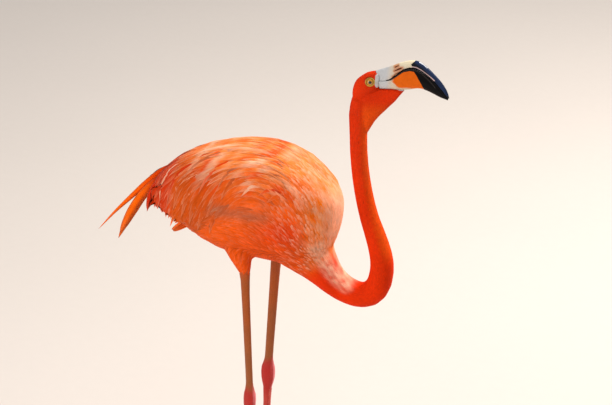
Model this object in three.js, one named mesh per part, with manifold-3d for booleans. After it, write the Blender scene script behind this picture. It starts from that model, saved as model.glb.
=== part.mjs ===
// A life-size standing flamingo as a still display model, in millimetres, +Z up.
// The bird faces +X with its left side towards +Y. The origin is on the floor,
// below the middle of the model's bounding box.
import * as THREE from "three";
import { mergeVertices } from "three/addons/utils/BufferGeometryUtils.js";
import Module from "manifold-3d";

const wasm = await Module();
wasm.setup();

// ---------- driving dimensions ----------

const GAP = 0.4; // clearance between two pieces that meet
const FINENESS = 0.18; // detail smaller than this is left out of a cut piece
const CENTRE_SHIFT = { x: 3.3, y: 5.4 }; // from the floor below the ankles to the origin
const LATERAL = new THREE.Vector3(0, 1, 0);
const UPWARD = new THREE.Vector3(0, 0, 1);

// Trunk, from rump to breast: [x, z, half width, height above, depth below].
const TRUNK = [
  [-192, 690, 5, 4, 5],
  [-180, 690, 28, 20, 22],
  [-155, 689, 48, 46, 44],
  [-120, 687, 66, 70, 69],
  [-75, 684, 80, 92, 91],
  [-25, 684, 88, 105, 101],
  [25, 685, 90, 108, 103],
  [70, 686, 86, 97, 107],
  [102, 686, 77, 77, 104],
  [128, 687, 60, 54, 84],
  [145.5, 690, 38, 31, 54],
  [153.5, 692, 8, 7, 10],
];
const WING_PROUD = 4; // the folded wing stands this far outside the trunk
const WING_DEPTH = 10; // and reaches this far into it
const MANTLE_HALF = 9; // half the strip of back between the two wings
const WING_CUTTER = { middle: [-20, 790], depth: 140, points: 22, spread: 4 }; // prism that cuts a wing out
// Side view of the folded wing: [x, z], from the shoulder along its lower edge to the rear.
const WING_OUTLINE = [
  [132, 714],
  [108, 700],
  [60, 697],
  [10, 697],
  [-30, 688],
  [-62, 660],
  [-90, 630],
  [-118, 640],
  [-150, 655],
  [-176, 664],
  [-184, 690],
  [-184, 840],
  [132, 840],
];

// Neck centreline in the plane y = 0, from the breast to the head: [x, z, radius].
const NECK = [
  [52, 662, 68],
  [77, 626, 60],
  [101, 597.5, 44.5],
  [123.5, 572, 31.4],
  [146, 551.5, 25.4],
  [169, 540.5, 23.4],
  [191, 536.8, 22.4],
  [211.5, 544, 22.4],
  [225.5, 564.5, 21.7],
  [230.5, 594, 20.8],
  [228, 619, 19.8],
  [220, 647, 18.3],
  [207, 683, 16.5],
  [197, 722, 15.7],
  [190, 762, 15.2],
  [186, 802, 15],
  [185, 840, 15.2],
  [185, 874, 16.4],
  [188, 900, 14.4],
];
const NECK_CUTS = [3.25, 7.5, 12, 15.7]; // station numbers where the neck is parted
const NECK_GAP = 0.012; // station fraction that leaves a clearance between two lengths of neck

// Head, in its own frame: origin midway between the eyes, +X forward.
const HEAD_AT = { x: 206.4, y: 3.6, z: 935.8 };
const HEAD_TURN = THREE.MathUtils.degToRad(10);
const SKULL = [
  [-32, -27, 3, 4, 4],
  [-30, -24, 10, 12, 13],
  [-25, -20, 14, 18, 20],
  [-16, -16, 16, 22, 23],
  [-6, -12.5, 16.4, 25, 21],
  [4, -8.5, 15.2, 23.5, 16],
  [12, -4, 12.6, 20.5, 11],
  [17, -1, 10, 17, 8],
];
// [x, z, half width, above, below], its rings upright.
const THROAT = [
  [-30, -56, 10, 40, 40],
  [-16, -54, 14, 45, 45],
  [-5, -50, 14.6, 42, 45],
  [6, -43, 13.6, 34, 32],
  [15, -38, 12.6, 26, 25.5],
  [23, -34, 11.6, 21, 21],
  [31, -29.5, 10.6, 16.5, 16.5],
  [40, -25, 9.6, 12, 11.5],
  [48, -19.5, 8, 7, 5.5],
  [56, -13.5, 3, 1.5, 1.5],
];
const EYE_RADIUS = 6.8;
const EYE_AT = { x: -1, y: 11.6, z: 0 };
// Bill stations from base to tip: culmen x, z; tomium x, z; gonys x, z; half widths of upper and lower.
const BILL = [
  [7, 16, 12, 1, 15, -14.6, 9.6, 10.4],
  [22, 22, 28, 3, 33, -13.6, 9.2, 10.6],
  [37, 28, 43, 14, 50, -14.2, 9.2, 11.6],
  [51, 34.4, 55, 24, 62, -13.4, 9.2, 12.6],
  [66, 38.4, 67, 28.4, 74, -10.4, 9, 13],
  [79, 37.6, 78, 27, 84, -9.8, 8.6, 12.4],
  [92.5, 28.6, 89, 20.8, 95, -13.2, 8, 11],
  [106, 15.6, 100, 11.4, 105, -17.6, 7.2, 9.2],
  [118, 2.6, 112, -1, 115, -22.6, 6, 7],
  [127, -11.6, 122, -13.4, 124, -25.6, 4.4, 4.6],
  [130.6, -23.8, 129, -24.4, 128.6, -27.4, 1.6, 1.6],
];

// Legs. Each side: ankle and foot places, and how far the toes turn out.
const THIGH_GAP = 0.52; // clearance round the thighs
const TOE_JOINT_HEIGHT = 9;
const LEGS = {
  right: { side: -1, hip: [-26, -44], knee: [-4, -50], ankle: [5, -53.5], foot: [-14, -56], out: 24 },
  left: { side: 1, hip: [0, 44], knee: [14, 50], ankle: [-5, 53.5], foot: [-20, 56], out: 12 },
};

// ---------- making solids ----------

// A closed surface through rings. ring(t) gives { at, side, up, half: [side, above, below] }.
function ringed(ring, from, to, along, around) {
  const positions = [];
  const index = [];
  const point = new THREE.Vector3();
  for (let i = 0; i <= along; i++) {
    const { at, side, up, half } = ring(from + ((to - from) * i) / along);
    for (let j = 0; j < around; j++) {
      const turn = (2 * Math.PI * j) / around;
      const rise = Math.sin(turn) * (Math.sin(turn) > 0 ? half[1] : half[2]);
      point.copy(at).addScaledVector(side, Math.cos(turn) * half[0]).addScaledVector(up, rise);
      positions.push(point.x, point.y, point.z);
    }
  }
  const start = ring(from).at;
  const end = ring(to).at;
  positions.push(start.x, start.y, start.z, end.x, end.y, end.z);
  const startCap = (along + 1) * around;
  for (let j = 0; j < around; j++) {
    const next = (j + 1) % around;
    for (let i = 0; i < along; i++) {
      const a = i * around + j;
      const b = i * around + next;
      index.push(a, b, b + around, a, b + around, a + around);
    }
    index.push(startCap, next, j);
    index.push(startCap + 1, along * around + j, along * around + next);
  }
  const geometry = new THREE.BufferGeometry();
  geometry.setAttribute("position", new THREE.Float32BufferAttribute(positions, 3));
  geometry.setIndex(index);
  return geometry;
}

// The ring function of stations [point, [half side, above, below]] joined by a smooth spine.
// Rings stand across the spine, or upright if asked.
function spineRings(stations, { grow = 0, lateral = LATERAL, erect = false }) {
  const spine = new THREE.CatmullRomCurve3(stations.map(([at]) => at));
  const sizes = new THREE.CatmullRomCurve3(stations.map(([, half]) => new THREE.Vector3(...half)));
  const last = stations.length - 1;
  spine.curveType = "catmullrom";
  sizes.curveType = "catmullrom";
  return (t) => {
    const tangent = spine.getTangent(t / last);
    const up = erect ? UPWARD : new THREE.Vector3().crossVectors(tangent, lateral).normalize();
    const side = erect ? LATERAL : new THREE.Vector3().crossVectors(up, tangent).normalize();
    const half = sizes.getPoint(t / last).toArray();
    return { at: spine.getPoint(t / last), side, up, half: half.map((v) => Math.max(v + grow, 0.2)) };
  };
}

// A piece through all its stations, from end to end or between two station numbers.
function loft(stations, { perStation = 2, around = 24, from = 0, to, ...shape } = {}) {
  const end = to ?? stations.length - 1;
  const along = Math.max(1, Math.round((end - from) * perStation));
  return outwards(ringed(spineRings(stations, shape), from, end, along, around));
}

// Stations from rows [x, z, half width, above, below], all in the plane y = 0.
const upright = (rows) =>
  rows.map(([x, z, side, above = side, below = above]) => [new THREE.Vector3(x, 0, z), [side, above, below]]);

function signedVolume(geometry) {
  const p = geometry.getAttribute("position");
  const index = geometry.getIndex();
  const [a, b, c] = [new THREE.Vector3(), new THREE.Vector3(), new THREE.Vector3()];
  let volume = 0;
  for (let i = 0; i < index.count; i += 3) {
    a.fromBufferAttribute(p, index.getX(i));
    b.fromBufferAttribute(p, index.getX(i + 1));
    c.fromBufferAttribute(p, index.getX(i + 2));
    volume += a.dot(b.cross(c)) / 6;
  }
  return volume;
}

// Turns a geometry's faces so that they point out.
function outwards(geometry) {
  if (signedVolume(geometry) < 0) {
    const index = geometry.getIndex().array;
    for (let i = 0; i < index.length; i += 3) [index[i], index[i + 1]] = [index[i + 1], index[i]];
  }
  return geometry;
}

function solid(geometry) {
  const bare = geometry.clone();
  for (const name of Object.keys(bare.attributes)) if (name !== "position") bare.deleteAttribute(name);
  const merged = mergeVertices(bare, 1e-4);
  const vertProperties = merged.getAttribute("position").array;
  const corners = Array.from(merged.getIndex().array);
  const triVerts = [];
  for (let i = 0; i < corners.length; i += 3) {
    const [a, b, c] = corners.slice(i, i + 3);
    if (a !== b && b !== c && a !== c) triVerts.push(a, b, c);
  }
  const mesh = new wasm.Mesh({ numProp: 3, vertProperties, triVerts: new Uint32Array(triVerts) });
  return new wasm.Manifold(mesh);
}

// Back to a geometry: the largest body of a solid, in case a cut leaves crumbs.
function geometryOf(manifold) {
  const body = manifold.simplify(FINENESS).decompose().reduce((a, b) => (a.volume() > b.volume() ? a : b));
  const { numProp, vertProperties, triVerts } = body.getMesh();
  const positions = new Float32Array((vertProperties.length / numProp) * 3);
  for (let i = 0; i < positions.length / 3; i++) {
    positions.set(vertProperties.subarray(i * numProp, i * numProp + 3), i * 3);
  }
  const geometry = new THREE.BufferGeometry();
  geometry.setAttribute("position", new THREE.BufferAttribute(positions, 3));
  geometry.setIndex(Array.from(triVerts));
  return geometry;
}

const join = (...solids) => solids.reduce((a, b) => a.add(b));
const cut = (whole, ...cutters) => cutters.reduce((a, b) => a.subtract(b), whole);

function boxSolid(x0, x1, y0, y1, z0, z1) {
  const box = new THREE.BoxGeometry(x1 - x0, y1 - y0, z1 - z0);
  return solid(box.translate((x0 + x1) / 2, (y0 + y1) / 2, (z0 + z1) / 2));
}

// ---------- materials ----------

const finish = (color, roughness) => new THREE.MeshStandardMaterial({ color, roughness, metalness: 0 });
const MATERIALS = {
  plumage: finish(0xe8622a, 0.8),
  neck: finish(0xdf3f10, 0.8),
  primaries: finish(0x17120f, 0.6),
  billPale: finish(0xe9d9c4, 0.35),
  billDark: finish(0xd8742a, 0.35),
  eye: finish(0xd9a12c, 0.1),
  shank: finish(0xb96a48, 0.5),
  leg: finish(0xc4504a, 0.5),
  claw: finish(0x3a2a26, 0.5),
};

const bird = new THREE.Group();

function addPiece(name, shape, material, parent = bird) {
  const geometry = shape instanceof THREE.BufferGeometry ? shape : geometryOf(shape);
  geometry.computeVertexNormals();
  const mesh = new THREE.Mesh(geometry, material);
  mesh.name = name;
  parent.add(mesh);
  return mesh;
}

// ---------- trunk, wings and neck ----------

const trunkShape = (grow) => solid(loft(upright(TRUNK), { grow, around: 20, perStation: 1.4, erect: true }));
const neckStations = upright(NECK);
const neckTube = (from, to, grow = 0) =>
  loft(neckStations, { from, to, grow, around: 14, perStation: 1.6 });

// The prism that bounds a folded wing, beside the mantle.
function wingPrism(side, grow) {
  const { depth, points, spread } = WING_CUTTER;
  const middle = new THREE.Vector2(...WING_CUTTER.middle);
  const outline = WING_OUTLINE.map(([x, z]) => {
    const away = new THREE.Vector2(x, z).sub(middle);
    return away.setLength(away.length() + grow * spread).add(middle);
  });
  const edge = new THREE.SplineCurve(outline.slice(0, -2)).getPoints(points);
  const shape = new THREE.Shape([...edge, ...outline.slice(-2)]);
  const geometry = new THREE.ExtrudeGeometry(shape, { depth, bevelEnabled: false });
  geometry.rotateX(Math.PI / 2);
  const inner = MANTLE_HALF - grow;
  geometry.translate(0, side > 0 ? inner + depth : -inner, 0);
  return solid(geometry);
}

// A long flat feather or fan: stations [x, y, z, half width, thickness], its width along lateral.
function blade({ rows, lateral }, grow = 0) {
  const stations = rows.map(([x, y, z, half, thick]) => [
    new THREE.Vector3(x, y, z),
    [half, thick / 2, thick / 2],
  ]);
  return solid(loft(stations, { grow, around: 6, perStation: 2, lateral: new THREE.Vector3(...lateral) }));
}

// The long inner feathers of a folded wing hang past the trunk as a curtain.
const CURTAIN = [
  [-84, 66, 682, 34, 12],
  [-112, 63, 682, 35, 11],
  [-136, 60, 684, 31, 10],
  [-158, 55, 687, 24, 8],
  [-173, 51, 689, 16, 6],
  [-181, 49, 690, 7, 3],
];

function wingShape(side, grow = 0) {
  const block = trunkShape(WING_PROUD + grow).intersect(wingPrism(side, grow));
  const shell = cut(block, trunkShape(-WING_DEPTH - grow));
  const rows = CURTAIN.map(([x, y, ...rest]) => [x, side * y, ...rest]);
  return join(shell, cut(blade({ rows, lateral: [0, side * -0.25, 0.97] }, grow), trunkShape(GAP - grow)));
}
const wingBed = (side) => cut(wingPrism(side, GAP), trunkShape(-WING_DEPTH - GAP));

const BLADES = {
  plume_left_long: {
    rows: [
      [-150, 34, 722, 5, 3],
      [-196, 40, 694, 6, 4],
      [-232, 45, 662, 6, 4],
      [-264, 49, 629, 5, 3],
      [-302, 54, 589, 3, 2.4],
      [-341, 60, 544, 1, 1],
    ],
    lateral: [0.77, 0.2, -0.62],
    material: "plumage",
  },
  plume_left_broad: {
    rows: [
      [-158, 22, 712, 8, 3],
      [-200, 26, 682, 12, 5],
      [-232, 28, 646, 13, 5],
      [-255, 29, 610, 12, 4],
      [-273, 30, 576, 7, 3],
      [-286, 30, 548, 1, 1],
    ],
    lateral: [0.8, 0.1, 0.5],
    material: "plumage",
  },
  plume_middle: {
    rows: [
      [-160, -8, 706, 8, 3],
      [-184, -6, 690, 10, 4],
      [-200, -4, 664, 9, 4],
      [-208, -2, 640, 6, 3],
      [-213, 0, 625, 1, 1],
    ],
    lateral: [0.9, 0.1, 0.3],
    material: "plumage",
  },
  primaries_right: {
    rows: [
      [-70, -64, 648, 10, 4],
      [-105, -61, 650, 13, 5],
      [-140, -56, 657, 12, 5],
      [-168, -48, 665, 9, 4],
      [-186, -44, 667, 3, 2],
    ],
    lateral: [0, 0.5, -0.86],
    material: "primaries",
  },
  primaries_left: {
    rows: [
      [-80, 60, 680, 12, 4],
      [-130, 54, 690, 15, 5],
      [-170, 50, 690, 12, 4],
      [-204, 49, 688, 6, 3],
      [-231, 51, 671, 1, 1],
    ],
    lateral: [0, 0.35, 1],
    material: "primaries",
  },
  tail: {
    rows: [
      [-92, 0, 656, 26, 36],
      [-120, 0, 634, 28, 25],
      [-143, 0, 616, 25, 14],
      [-157, 0, 605, 18, 7],
      [-165, 0, 598, 6, 2],
    ],
    lateral: [0, 1, 0],
    material: "neck",
  },
};

// ---------- legs ----------

// The way across the body, turned about the vertical by an angle in degrees.
const turned = (angle) => LATERAL.clone().applyAxisAngle(UPWARD, THREE.MathUtils.degToRad(angle));

// Leg centreline from the thigh to the toe joint: each row is [x, y, z, half fore-aft, half across].
function legStations({ hip, knee, ankle, foot, out, side }) {
  const along = (a, b, f) => [a[0] + (b[0] - a[0]) * f, a[1] + (b[1] - a[1]) * f];
  const thigh = [
    [...hip, 640, 34, 24],
    [...along(hip, knee, 0.35), 615, 31, 22],
    [...along(hip, knee, 0.75), 588, 20, 16],
    [...knee, 566, 11.5, 8.5],
  ];
  const shank = [
    [...along(knee, ankle, 0.16), 528, 9.2, 6.2],
    [...along(knee, ankle, 0.5), 450, 8.4, 5.4],
    [...along(knee, ankle, 0.84), 370, 7.8, 5.2],
    [...along(knee, ankle, 0.93), 347, 8.6, 6],
  ];
  const joint = [
    [...ankle, 330, 13, 9.4],
    [...along(ankle, foot, 0.05), 308, 12.4, 9],
    [...along(ankle, foot, 0.14), 284, 7.6, 6],
  ];
  const tarsus = [
    [...along(ankle, foot, 0.4), 200, 6.4, 5],
    [...along(ankle, foot, 0.75), 90, 6.2, 5.2],
    [...along(ankle, foot, 0.94), 30, 7, 6.4],
    [...foot, TOE_JOINT_HEIGHT, 9, 8.4],
  ];
  const outward = turned(side * out);
  const rows = [...thigh, ...shank, ...joint, ...tarsus];
  const stations = rows.map(([x, y, z, fore, across]) => [new THREE.Vector3(x, y, z), [across, fore, fore]]);
  return { outward, stations };
}
const LEG_PARTS = { thigh: [0.03, 3], shank: [3, 7.4], ankle: [7.4, 10.3], tarsus: [10.3, 13.4] };
const HEEL = [13.4, 14]; // the length of leg that belongs to the foot
const legTube = (leg, [from, to], grow = 0, gap = 0) => {
  const { stations, outward } = legStations(leg);
  return loft(stations, { from: from + gap, to, grow, around: 9, perStation: 2, lateral: outward });
};
const LEG_GAP = 0.006; // station fraction that leaves a clearance between two lengths of leg

// Toes: name, turn from straight ahead, length, radius at base.
const TOES = [
  { name: "inner", turn: -34, length: 66, radius: 5.2 },
  { name: "middle", turn: 0, length: 80, radius: 5.6 },
  { name: "outer", turn: 32, length: 72, radius: 5.2 },
  { name: "hind", turn: 164, length: 17, radius: 4 },
];
const CLAW_LENGTH = 9;
const HIND_CLAW = 0.7; // the hind claw's share of that
const WEB_THICK = 1.8;
const WEB_HEIGHT = 0.8;
const WEB_REACH = 0.86; // how far out along its toes the web is fixed
const WEB_HOLLOW = 0.36; // how far its front edge is pulled in towards the heel
const TOE_KNOB = { radius: 9.6, scale: [1.15, 1, 0.95], at: [-1, 0, 8] }; // where the toes meet

// Toe path in the foot's frame, where +X is straight ahead: joints swell a little.
function toeStations({ turn, length, radius }, side) {
  const angle = THREE.MathUtils.degToRad(turn) * side;
  const rows = [
    [0, 8, 1.15],
    [0.16, 6.2, 1],
    [0.36, 4.2, 1.02],
    [0.5, 3.4, 0.84],
    [0.64, 3.6, 0.94],
    [0.8, 2.8, 0.74],
    [0.93, 2.7, 0.7],
    [1, 2.4, 0.5],
  ];
  return rows.map(([f, z, r]) => [
    new THREE.Vector3(Math.cos(angle) * f * length, Math.sin(angle) * f * length, z),
    [radius * r, radius * r * 0.9, radius * r * 0.9],
  ]);
}

const acrossToe = ({ turn }, side) => turned(turn * side);

// The web between two toes, with a hollow front edge.
function webSolid(a, b, side) {
  const tip = ({ turn, length }) => {
    const angle = THREE.MathUtils.degToRad(turn) * side;
    return new THREE.Vector2(Math.cos(angle), Math.sin(angle)).multiplyScalar(length * WEB_REACH);
  };
  const [p, q] = [tip(a), tip(b)];
  const hollow = p.clone().add(q).multiplyScalar(WEB_HOLLOW);
  const shape = new THREE.Shape().moveTo(0, 0).lineTo(p.x, p.y);
  shape.quadraticCurveTo(hollow.x, hollow.y, q.x, q.y);
  shape.lineTo(0, 0);
  const extrusion = { depth: WEB_THICK, bevelEnabled: false, curveSegments: 4 };
  return solid(new THREE.ExtrudeGeometry(shape, extrusion).translate(0, 0, WEB_HEIGHT));
}

const below = boxSolid(-200, 200, -200, 200, -50, 0);

function footSolid(side, heel) {
  const toes = TOES.map((toe) =>
    solid(loft(toeStations(toe, side), { around: 7, perStation: 1, lateral: acrossToe(toe, side) })),
  );
  const { radius, scale, at } = TOE_KNOB;
  const knob = solid(new THREE.SphereGeometry(radius, 9, 6).scale(...scale).translate(...at));
  const [inner, middle, outer] = TOES;
  return cut(join(knob, heel, ...toes, webSolid(inner, middle, side), webSolid(middle, outer, side)), below);
}

function clawGeometry(toe, side) {
  const angle = THREE.MathUtils.degToRad(toe.turn) * side;
  const long = toe.name === "hind" ? CLAW_LENGTH * HIND_CLAW : CLAW_LENGTH;
  const base = toe.radius * 0.48;
  const rows = [
    [GAP, 3, base],
    [long * 0.4, 3, base * 0.9],
    [long * 0.8, 2, base * 0.55],
    [long, 1.2, 0.4],
  ];
  const stations = rows.map(([f, z, r]) => [
    new THREE.Vector3(Math.cos(angle) * (toe.length + f), Math.sin(angle) * (toe.length + f), z),
    [r, r, Math.min(r, z - 0.3)],
  ]);
  return loft(stations, { around: 6, perStation: 1, lateral: acrossToe(toe, side) });
}

// ---------- head ----------

const headGroup = new THREE.Group();
headGroup.position.set(HEAD_AT.x, HEAD_AT.y, HEAD_AT.z);
headGroup.rotation.z = HEAD_TURN;
headGroup.updateMatrixWorld(true);
bird.add(headGroup);

// Half of the bill: rows of [edge x, edge z] joined to the tomium, closed by a flat mating face.
function billHalf(upper, grow = 0) {
  const [edgeX, edgeZ, width] = upper ? [0, 1, 6] : [4, 5, 7];
  const rings = new THREE.CatmullRomCurve3(BILL.map((row) => new THREE.Vector3(row[edgeX], 0, row[edgeZ])));
  const tomium = new THREE.CatmullRomCurve3(BILL.map((row) => new THREE.Vector3(row[2], 0, row[3])));
  const widths = new THREE.CatmullRomCurve3(BILL.map((row) => new THREE.Vector3(row[width], 0, 0)));
  for (const curve of [rings, tomium, widths]) curve.curveType = "catmullrom";
  const along = 18;
  const arc = 8;
  const positions = [];
  for (let i = 0; i <= along; i++) {
    const t = i / along;
    const edge = tomium.getPoint(t);
    const outer = rings.getPoint(t);
    const half = widths.getPoint(t).x + grow;
    const reach = outer.clone().sub(edge);
    const lift = reach.clone().normalize();
    reach.addScaledVector(lift, 2 * grow);
    edge.addScaledVector(lift, GAP / 2 - grow);
    const fullness = upper ? 1.6 : 2.6;
    for (let j = 0; j <= arc; j++) {
      const angle = (Math.PI * j) / arc;
      const across = Math.sign(Math.cos(angle)) * Math.abs(Math.cos(angle)) ** (2 / fullness);
      const rise = Math.abs(Math.sin(angle)) ** (2 / fullness);
      const p = edge.clone().addScaledVector(reach, rise).addScaledVector(LATERAL, across * half);
      positions.push(p.x, p.y, p.z);
    }
  }
  const ring = arc + 1;
  const index = [];
  for (let i = 0; i < along; i++) {
    for (let j = 0; j < ring; j++) {
      const next = (j + 1) % ring;
      const [a, b] = [i * ring + j, i * ring + next];
      index.push(a, b, b + ring, a, b + ring, a + ring);
    }
  }
  for (let j = 1; j < ring - 1; j++) {
    index.push(0, j + 1, j);
    index.push(along * ring, along * ring + j, along * ring + j + 1);
  }
  const geometry = new THREE.BufferGeometry();
  geometry.setAttribute("position", new THREE.Float32BufferAttribute(positions, 3));
  geometry.setIndex(index);
  const half = solid(outwards(geometry));
  return grow ? join(half, half.translate([-grow, 0, 0])) : half;
}

const eyeGeometry = (side, grow = 0) => {
  const ball = new THREE.SphereGeometry(EYE_RADIUS + grow, 12, 6).rotateX(Math.PI / 2);
  return outwards(ball.translate(EYE_AT.x, side * EYE_AT.y, EYE_AT.z));
};

const intoHead = headGroup.matrixWorld.clone().invert();
const neckTop = neckTube(NECK_CUTS[3] + NECK_GAP, NECK.length - 1).applyMatrix4(intoHead);
const headWhole = join(
  solid(loft(upright(SKULL), { around: 16, perStation: 1.5, erect: true })),
  solid(loft(upright(THROAT), { around: 12, perStation: 1, erect: true })),
  solid(neckTop),
);
const headSolid = cut(
  headWhole,
  billHalf(true, GAP),
  billHalf(false, GAP),
  solid(eyeGeometry(1, GAP)),
  solid(eyeGeometry(-1, GAP)),
);

addPiece("head", headSolid, MATERIALS.neck, headGroup);
addPiece("upper_bill", billHalf(true), MATERIALS.billPale, headGroup);
addPiece("lower_bill", billHalf(false), MATERIALS.billDark, headGroup);
for (const [name, side] of [["right", -1], ["left", 1]]) {
  addPiece(`eye_${name}`, solid(eyeGeometry(side)), MATERIALS.eye, headGroup);
}

// ---------- putting the bird together ----------

const thighCutters = Object.values(LEGS).map((leg) => solid(legTube(leg, [0, 3], THIGH_GAP)));
const bodyWhole = join(trunkShape(0), solid(neckTube(0, NECK_CUTS[0])));
addPiece("trunk", cut(bodyWhole, wingBed(1), wingBed(-1), ...thighCutters), MATERIALS.plumage);
addPiece("wing_right", wingShape(-1), MATERIALS.plumage);
addPiece("wing_left", wingShape(1), MATERIALS.plumage);

["neck_lower", "neck_middle", "neck_upper"].forEach((name, i) => {
  addPiece(name, solid(neckTube(NECK_CUTS[i] + NECK_GAP, NECK_CUTS[i + 1])), MATERIALS.neck);
});

const covered = [trunkShape(GAP), wingShape(1, GAP), wingShape(-1, GAP)];
const placedBlades = [];
for (const [name, { material }] of Object.entries(BLADES)) {
  addPiece(name, cut(blade(BLADES[name]), ...covered, ...placedBlades), MATERIALS[material]);
  placedBlades.push(blade(BLADES[name], GAP));
}

for (const [name, leg] of Object.entries(LEGS)) {
  const foot = new THREE.Group();
  foot.position.set(leg.foot[0], leg.foot[1], 0);
  foot.rotation.z = leg.side * THREE.MathUtils.degToRad(leg.out);
  foot.updateMatrixWorld(true);
  bird.add(foot);
  const heel = solid(legTube(leg, HEEL, 0, LEG_GAP).applyMatrix4(foot.matrixWorld.clone().invert()));
  for (const [part, range] of Object.entries(LEG_PARTS)) {
    const tube = solid(legTube(leg, range, 0, part === "thigh" ? 0 : LEG_GAP));
    const material = part === "thigh" ? "plumage" : part === "shank" ? "shank" : "leg";
    addPiece(`${part}_${name}`, tube, MATERIALS[material]);
  }
  addPiece(`foot_${name}`, footSolid(leg.side, heel), MATERIALS.leg, foot);
  for (const toe of TOES) {
    addPiece(`claw_${toe.name}_${name}`, solid(clawGeometry(toe, leg.side)), MATERIALS.claw, foot);
  }
}

bird.position.set(CENTRE_SHIFT.x, CENTRE_SHIFT.y, 0);

export default bird;
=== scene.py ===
"""A life-size American flamingo as a still display model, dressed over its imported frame."""

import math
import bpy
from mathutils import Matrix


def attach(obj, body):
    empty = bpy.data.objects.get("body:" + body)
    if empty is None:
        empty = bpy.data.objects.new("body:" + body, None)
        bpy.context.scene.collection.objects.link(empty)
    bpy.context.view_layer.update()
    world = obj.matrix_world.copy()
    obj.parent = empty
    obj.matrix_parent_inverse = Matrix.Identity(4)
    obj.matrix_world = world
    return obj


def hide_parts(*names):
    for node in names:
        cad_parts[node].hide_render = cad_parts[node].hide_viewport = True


bl_info = {
    "name": "Flamingo",
    "version": (1, 0, 0),
    "blender": (4, 5, 0),
    "location": "View3D > Sidebar > Flamingo",
    "description": "Skin, plumage, bill, eyes and legs of a standing flamingo, and its studio",
    "category": "Add Mesh",
}

import bpy
import numpy as np
from bpy.props import FloatProperty, FloatVectorProperty, IntProperty, PointerProperty
from mathutils import Matrix, Vector
from mathutils.bvhtree import BVHTree

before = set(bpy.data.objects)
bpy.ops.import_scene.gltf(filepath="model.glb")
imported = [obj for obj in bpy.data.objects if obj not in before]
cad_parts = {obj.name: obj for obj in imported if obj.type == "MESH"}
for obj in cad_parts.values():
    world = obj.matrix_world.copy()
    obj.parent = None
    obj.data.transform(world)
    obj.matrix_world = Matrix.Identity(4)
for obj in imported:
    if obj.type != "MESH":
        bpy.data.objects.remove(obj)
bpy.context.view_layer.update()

MM = 0.001
SEED = 7
BODY = "root"

# Places that the pieces share, in metres. The bird faces +X with its left side towards +Y.
FRAME_SHIFT = np.array([0.0033, 0.0054, 0.0])
HEAD_AT = np.array([0.2064, 0.0036, 0.9358]) + FRAME_SHIFT  # midway between the eyes
HEAD_TURN = math.radians(10)
NECK_LINE = (
    np.array(
        [
            [186, 890],
            [185, 840],
            [190, 762],
            [207, 683],
            [228, 619],
            [230, 592],
            [225, 565],
            [211, 544],
            [191, 537],
            [169, 541],
            [147, 553],
            [124, 573],
            [101, 598],
            [77, 626],
            [52, 662],
        ]
    )
    * MM
)
NECK_BASE = np.array([0.100, 0.0, 0.600]) + FRAME_SHIFT
BREAST_ROOT = np.array([0.150, 0.0, 0.550]) + FRAME_SHIFT  # the breast's feathers radiate from here
SWIRL_INNER = np.array([0.041, 0.692])  # x, z about which the wing's shorter feathers sweep
SWIRL_OUTER = np.array([0.004, 0.647])  # and its longer ones
LEG_TOPS = ((-0.004, -0.0450), (0.0165, 0.0550))  # x, y where the bare legs begin
SIDES = {"right": -1, "left": 1}

rng = np.random.default_rng(SEED)


# ---------- arrays and meshes ----------


def unit(v):
    return v / np.maximum(np.linalg.norm(v, axis=-1, keepdims=True), 1e-12)


def smooth_step(low, high, x):
    t = np.clip((x - low) / (high - low), 0, 1)
    return t * t * (3 - 2 * t)


def mix(a, b, t):
    return a + (b - a) * t


def vertex_array(mesh):
    flat = np.empty(len(mesh.vertices) * 3, dtype=np.float64)
    mesh.vertices.foreach_get("co", flat)
    return flat.reshape(-1, 3)


def set_vertices(mesh, points):
    mesh.vertices.foreach_set("co", np.ascontiguousarray(points, dtype=np.float32).ravel())
    mesh.update()


def normal_array(mesh):
    flat = np.empty(len(mesh.vertices) * 3, dtype=np.float64)
    mesh.vertex_normals.foreach_get("vector", flat)
    return flat.reshape(-1, 3)


def edge_array(mesh):
    flat = np.empty(len(mesh.edges) * 2, dtype=np.int64)
    mesh.edges.foreach_get("vertices", flat)
    return flat.reshape(-1, 2)


def add_object(name, mesh):
    obj = bpy.data.objects.new(name, mesh)
    bpy.context.scene.collection.objects.link(obj)
    return obj


def mesh_from(name, points, faces, smooth=True):
    """A mesh of faces that all have the same number of corners, or several such arrays."""
    groups = faces if isinstance(faces, list) else [faces]
    mesh = bpy.data.meshes.new(name)
    mesh.vertices.add(len(points))
    mesh.vertices.foreach_set("co", np.ascontiguousarray(points, dtype=np.float32).ravel())
    corners = np.concatenate([g.ravel() for g in groups]).astype(np.int32)
    sizes = np.concatenate([np.full(len(g), g.shape[1], dtype=np.int32) for g in groups])
    mesh.loops.add(len(corners))
    mesh.loops.foreach_set("vertex_index", corners)
    mesh.polygons.add(len(sizes))
    mesh.polygons.foreach_set("loop_start", np.concatenate([[0], np.cumsum(sizes)[:-1]]).astype(np.int32))
    mesh.polygons.foreach_set("use_smooth", np.full(len(sizes), smooth))
    mesh.update(calc_edges=True)
    return mesh


def copy_of_nodes(name, nodes):
    """One object holding copies of these CAD nodes' meshes, merged."""
    points, faces, start = [], [], 0
    for node in nodes:
        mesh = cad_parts[node].data
        mesh.calc_loop_triangles()
        tris = np.empty(len(mesh.loop_triangles) * 3, dtype=np.int64)
        mesh.loop_triangles.foreach_get("vertices", tris)
        co = vertex_array(mesh)
        keys, first, inverse = np.unique(
            np.round(co, 6), axis=0, return_index=True, return_inverse=True
        )
        points.append(co[first])
        faces.append(inverse.reshape(-1)[tris].reshape(-1, 3) + start)
        start += len(first)
    faces = np.concatenate(faces)
    distinct = (faces[:, 0] != faces[:, 1]) & (faces[:, 1] != faces[:, 2]) & (faces[:, 0] != faces[:, 2])
    return add_object(name, mesh_from(name, np.concatenate(points), faces[distinct]))


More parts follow.
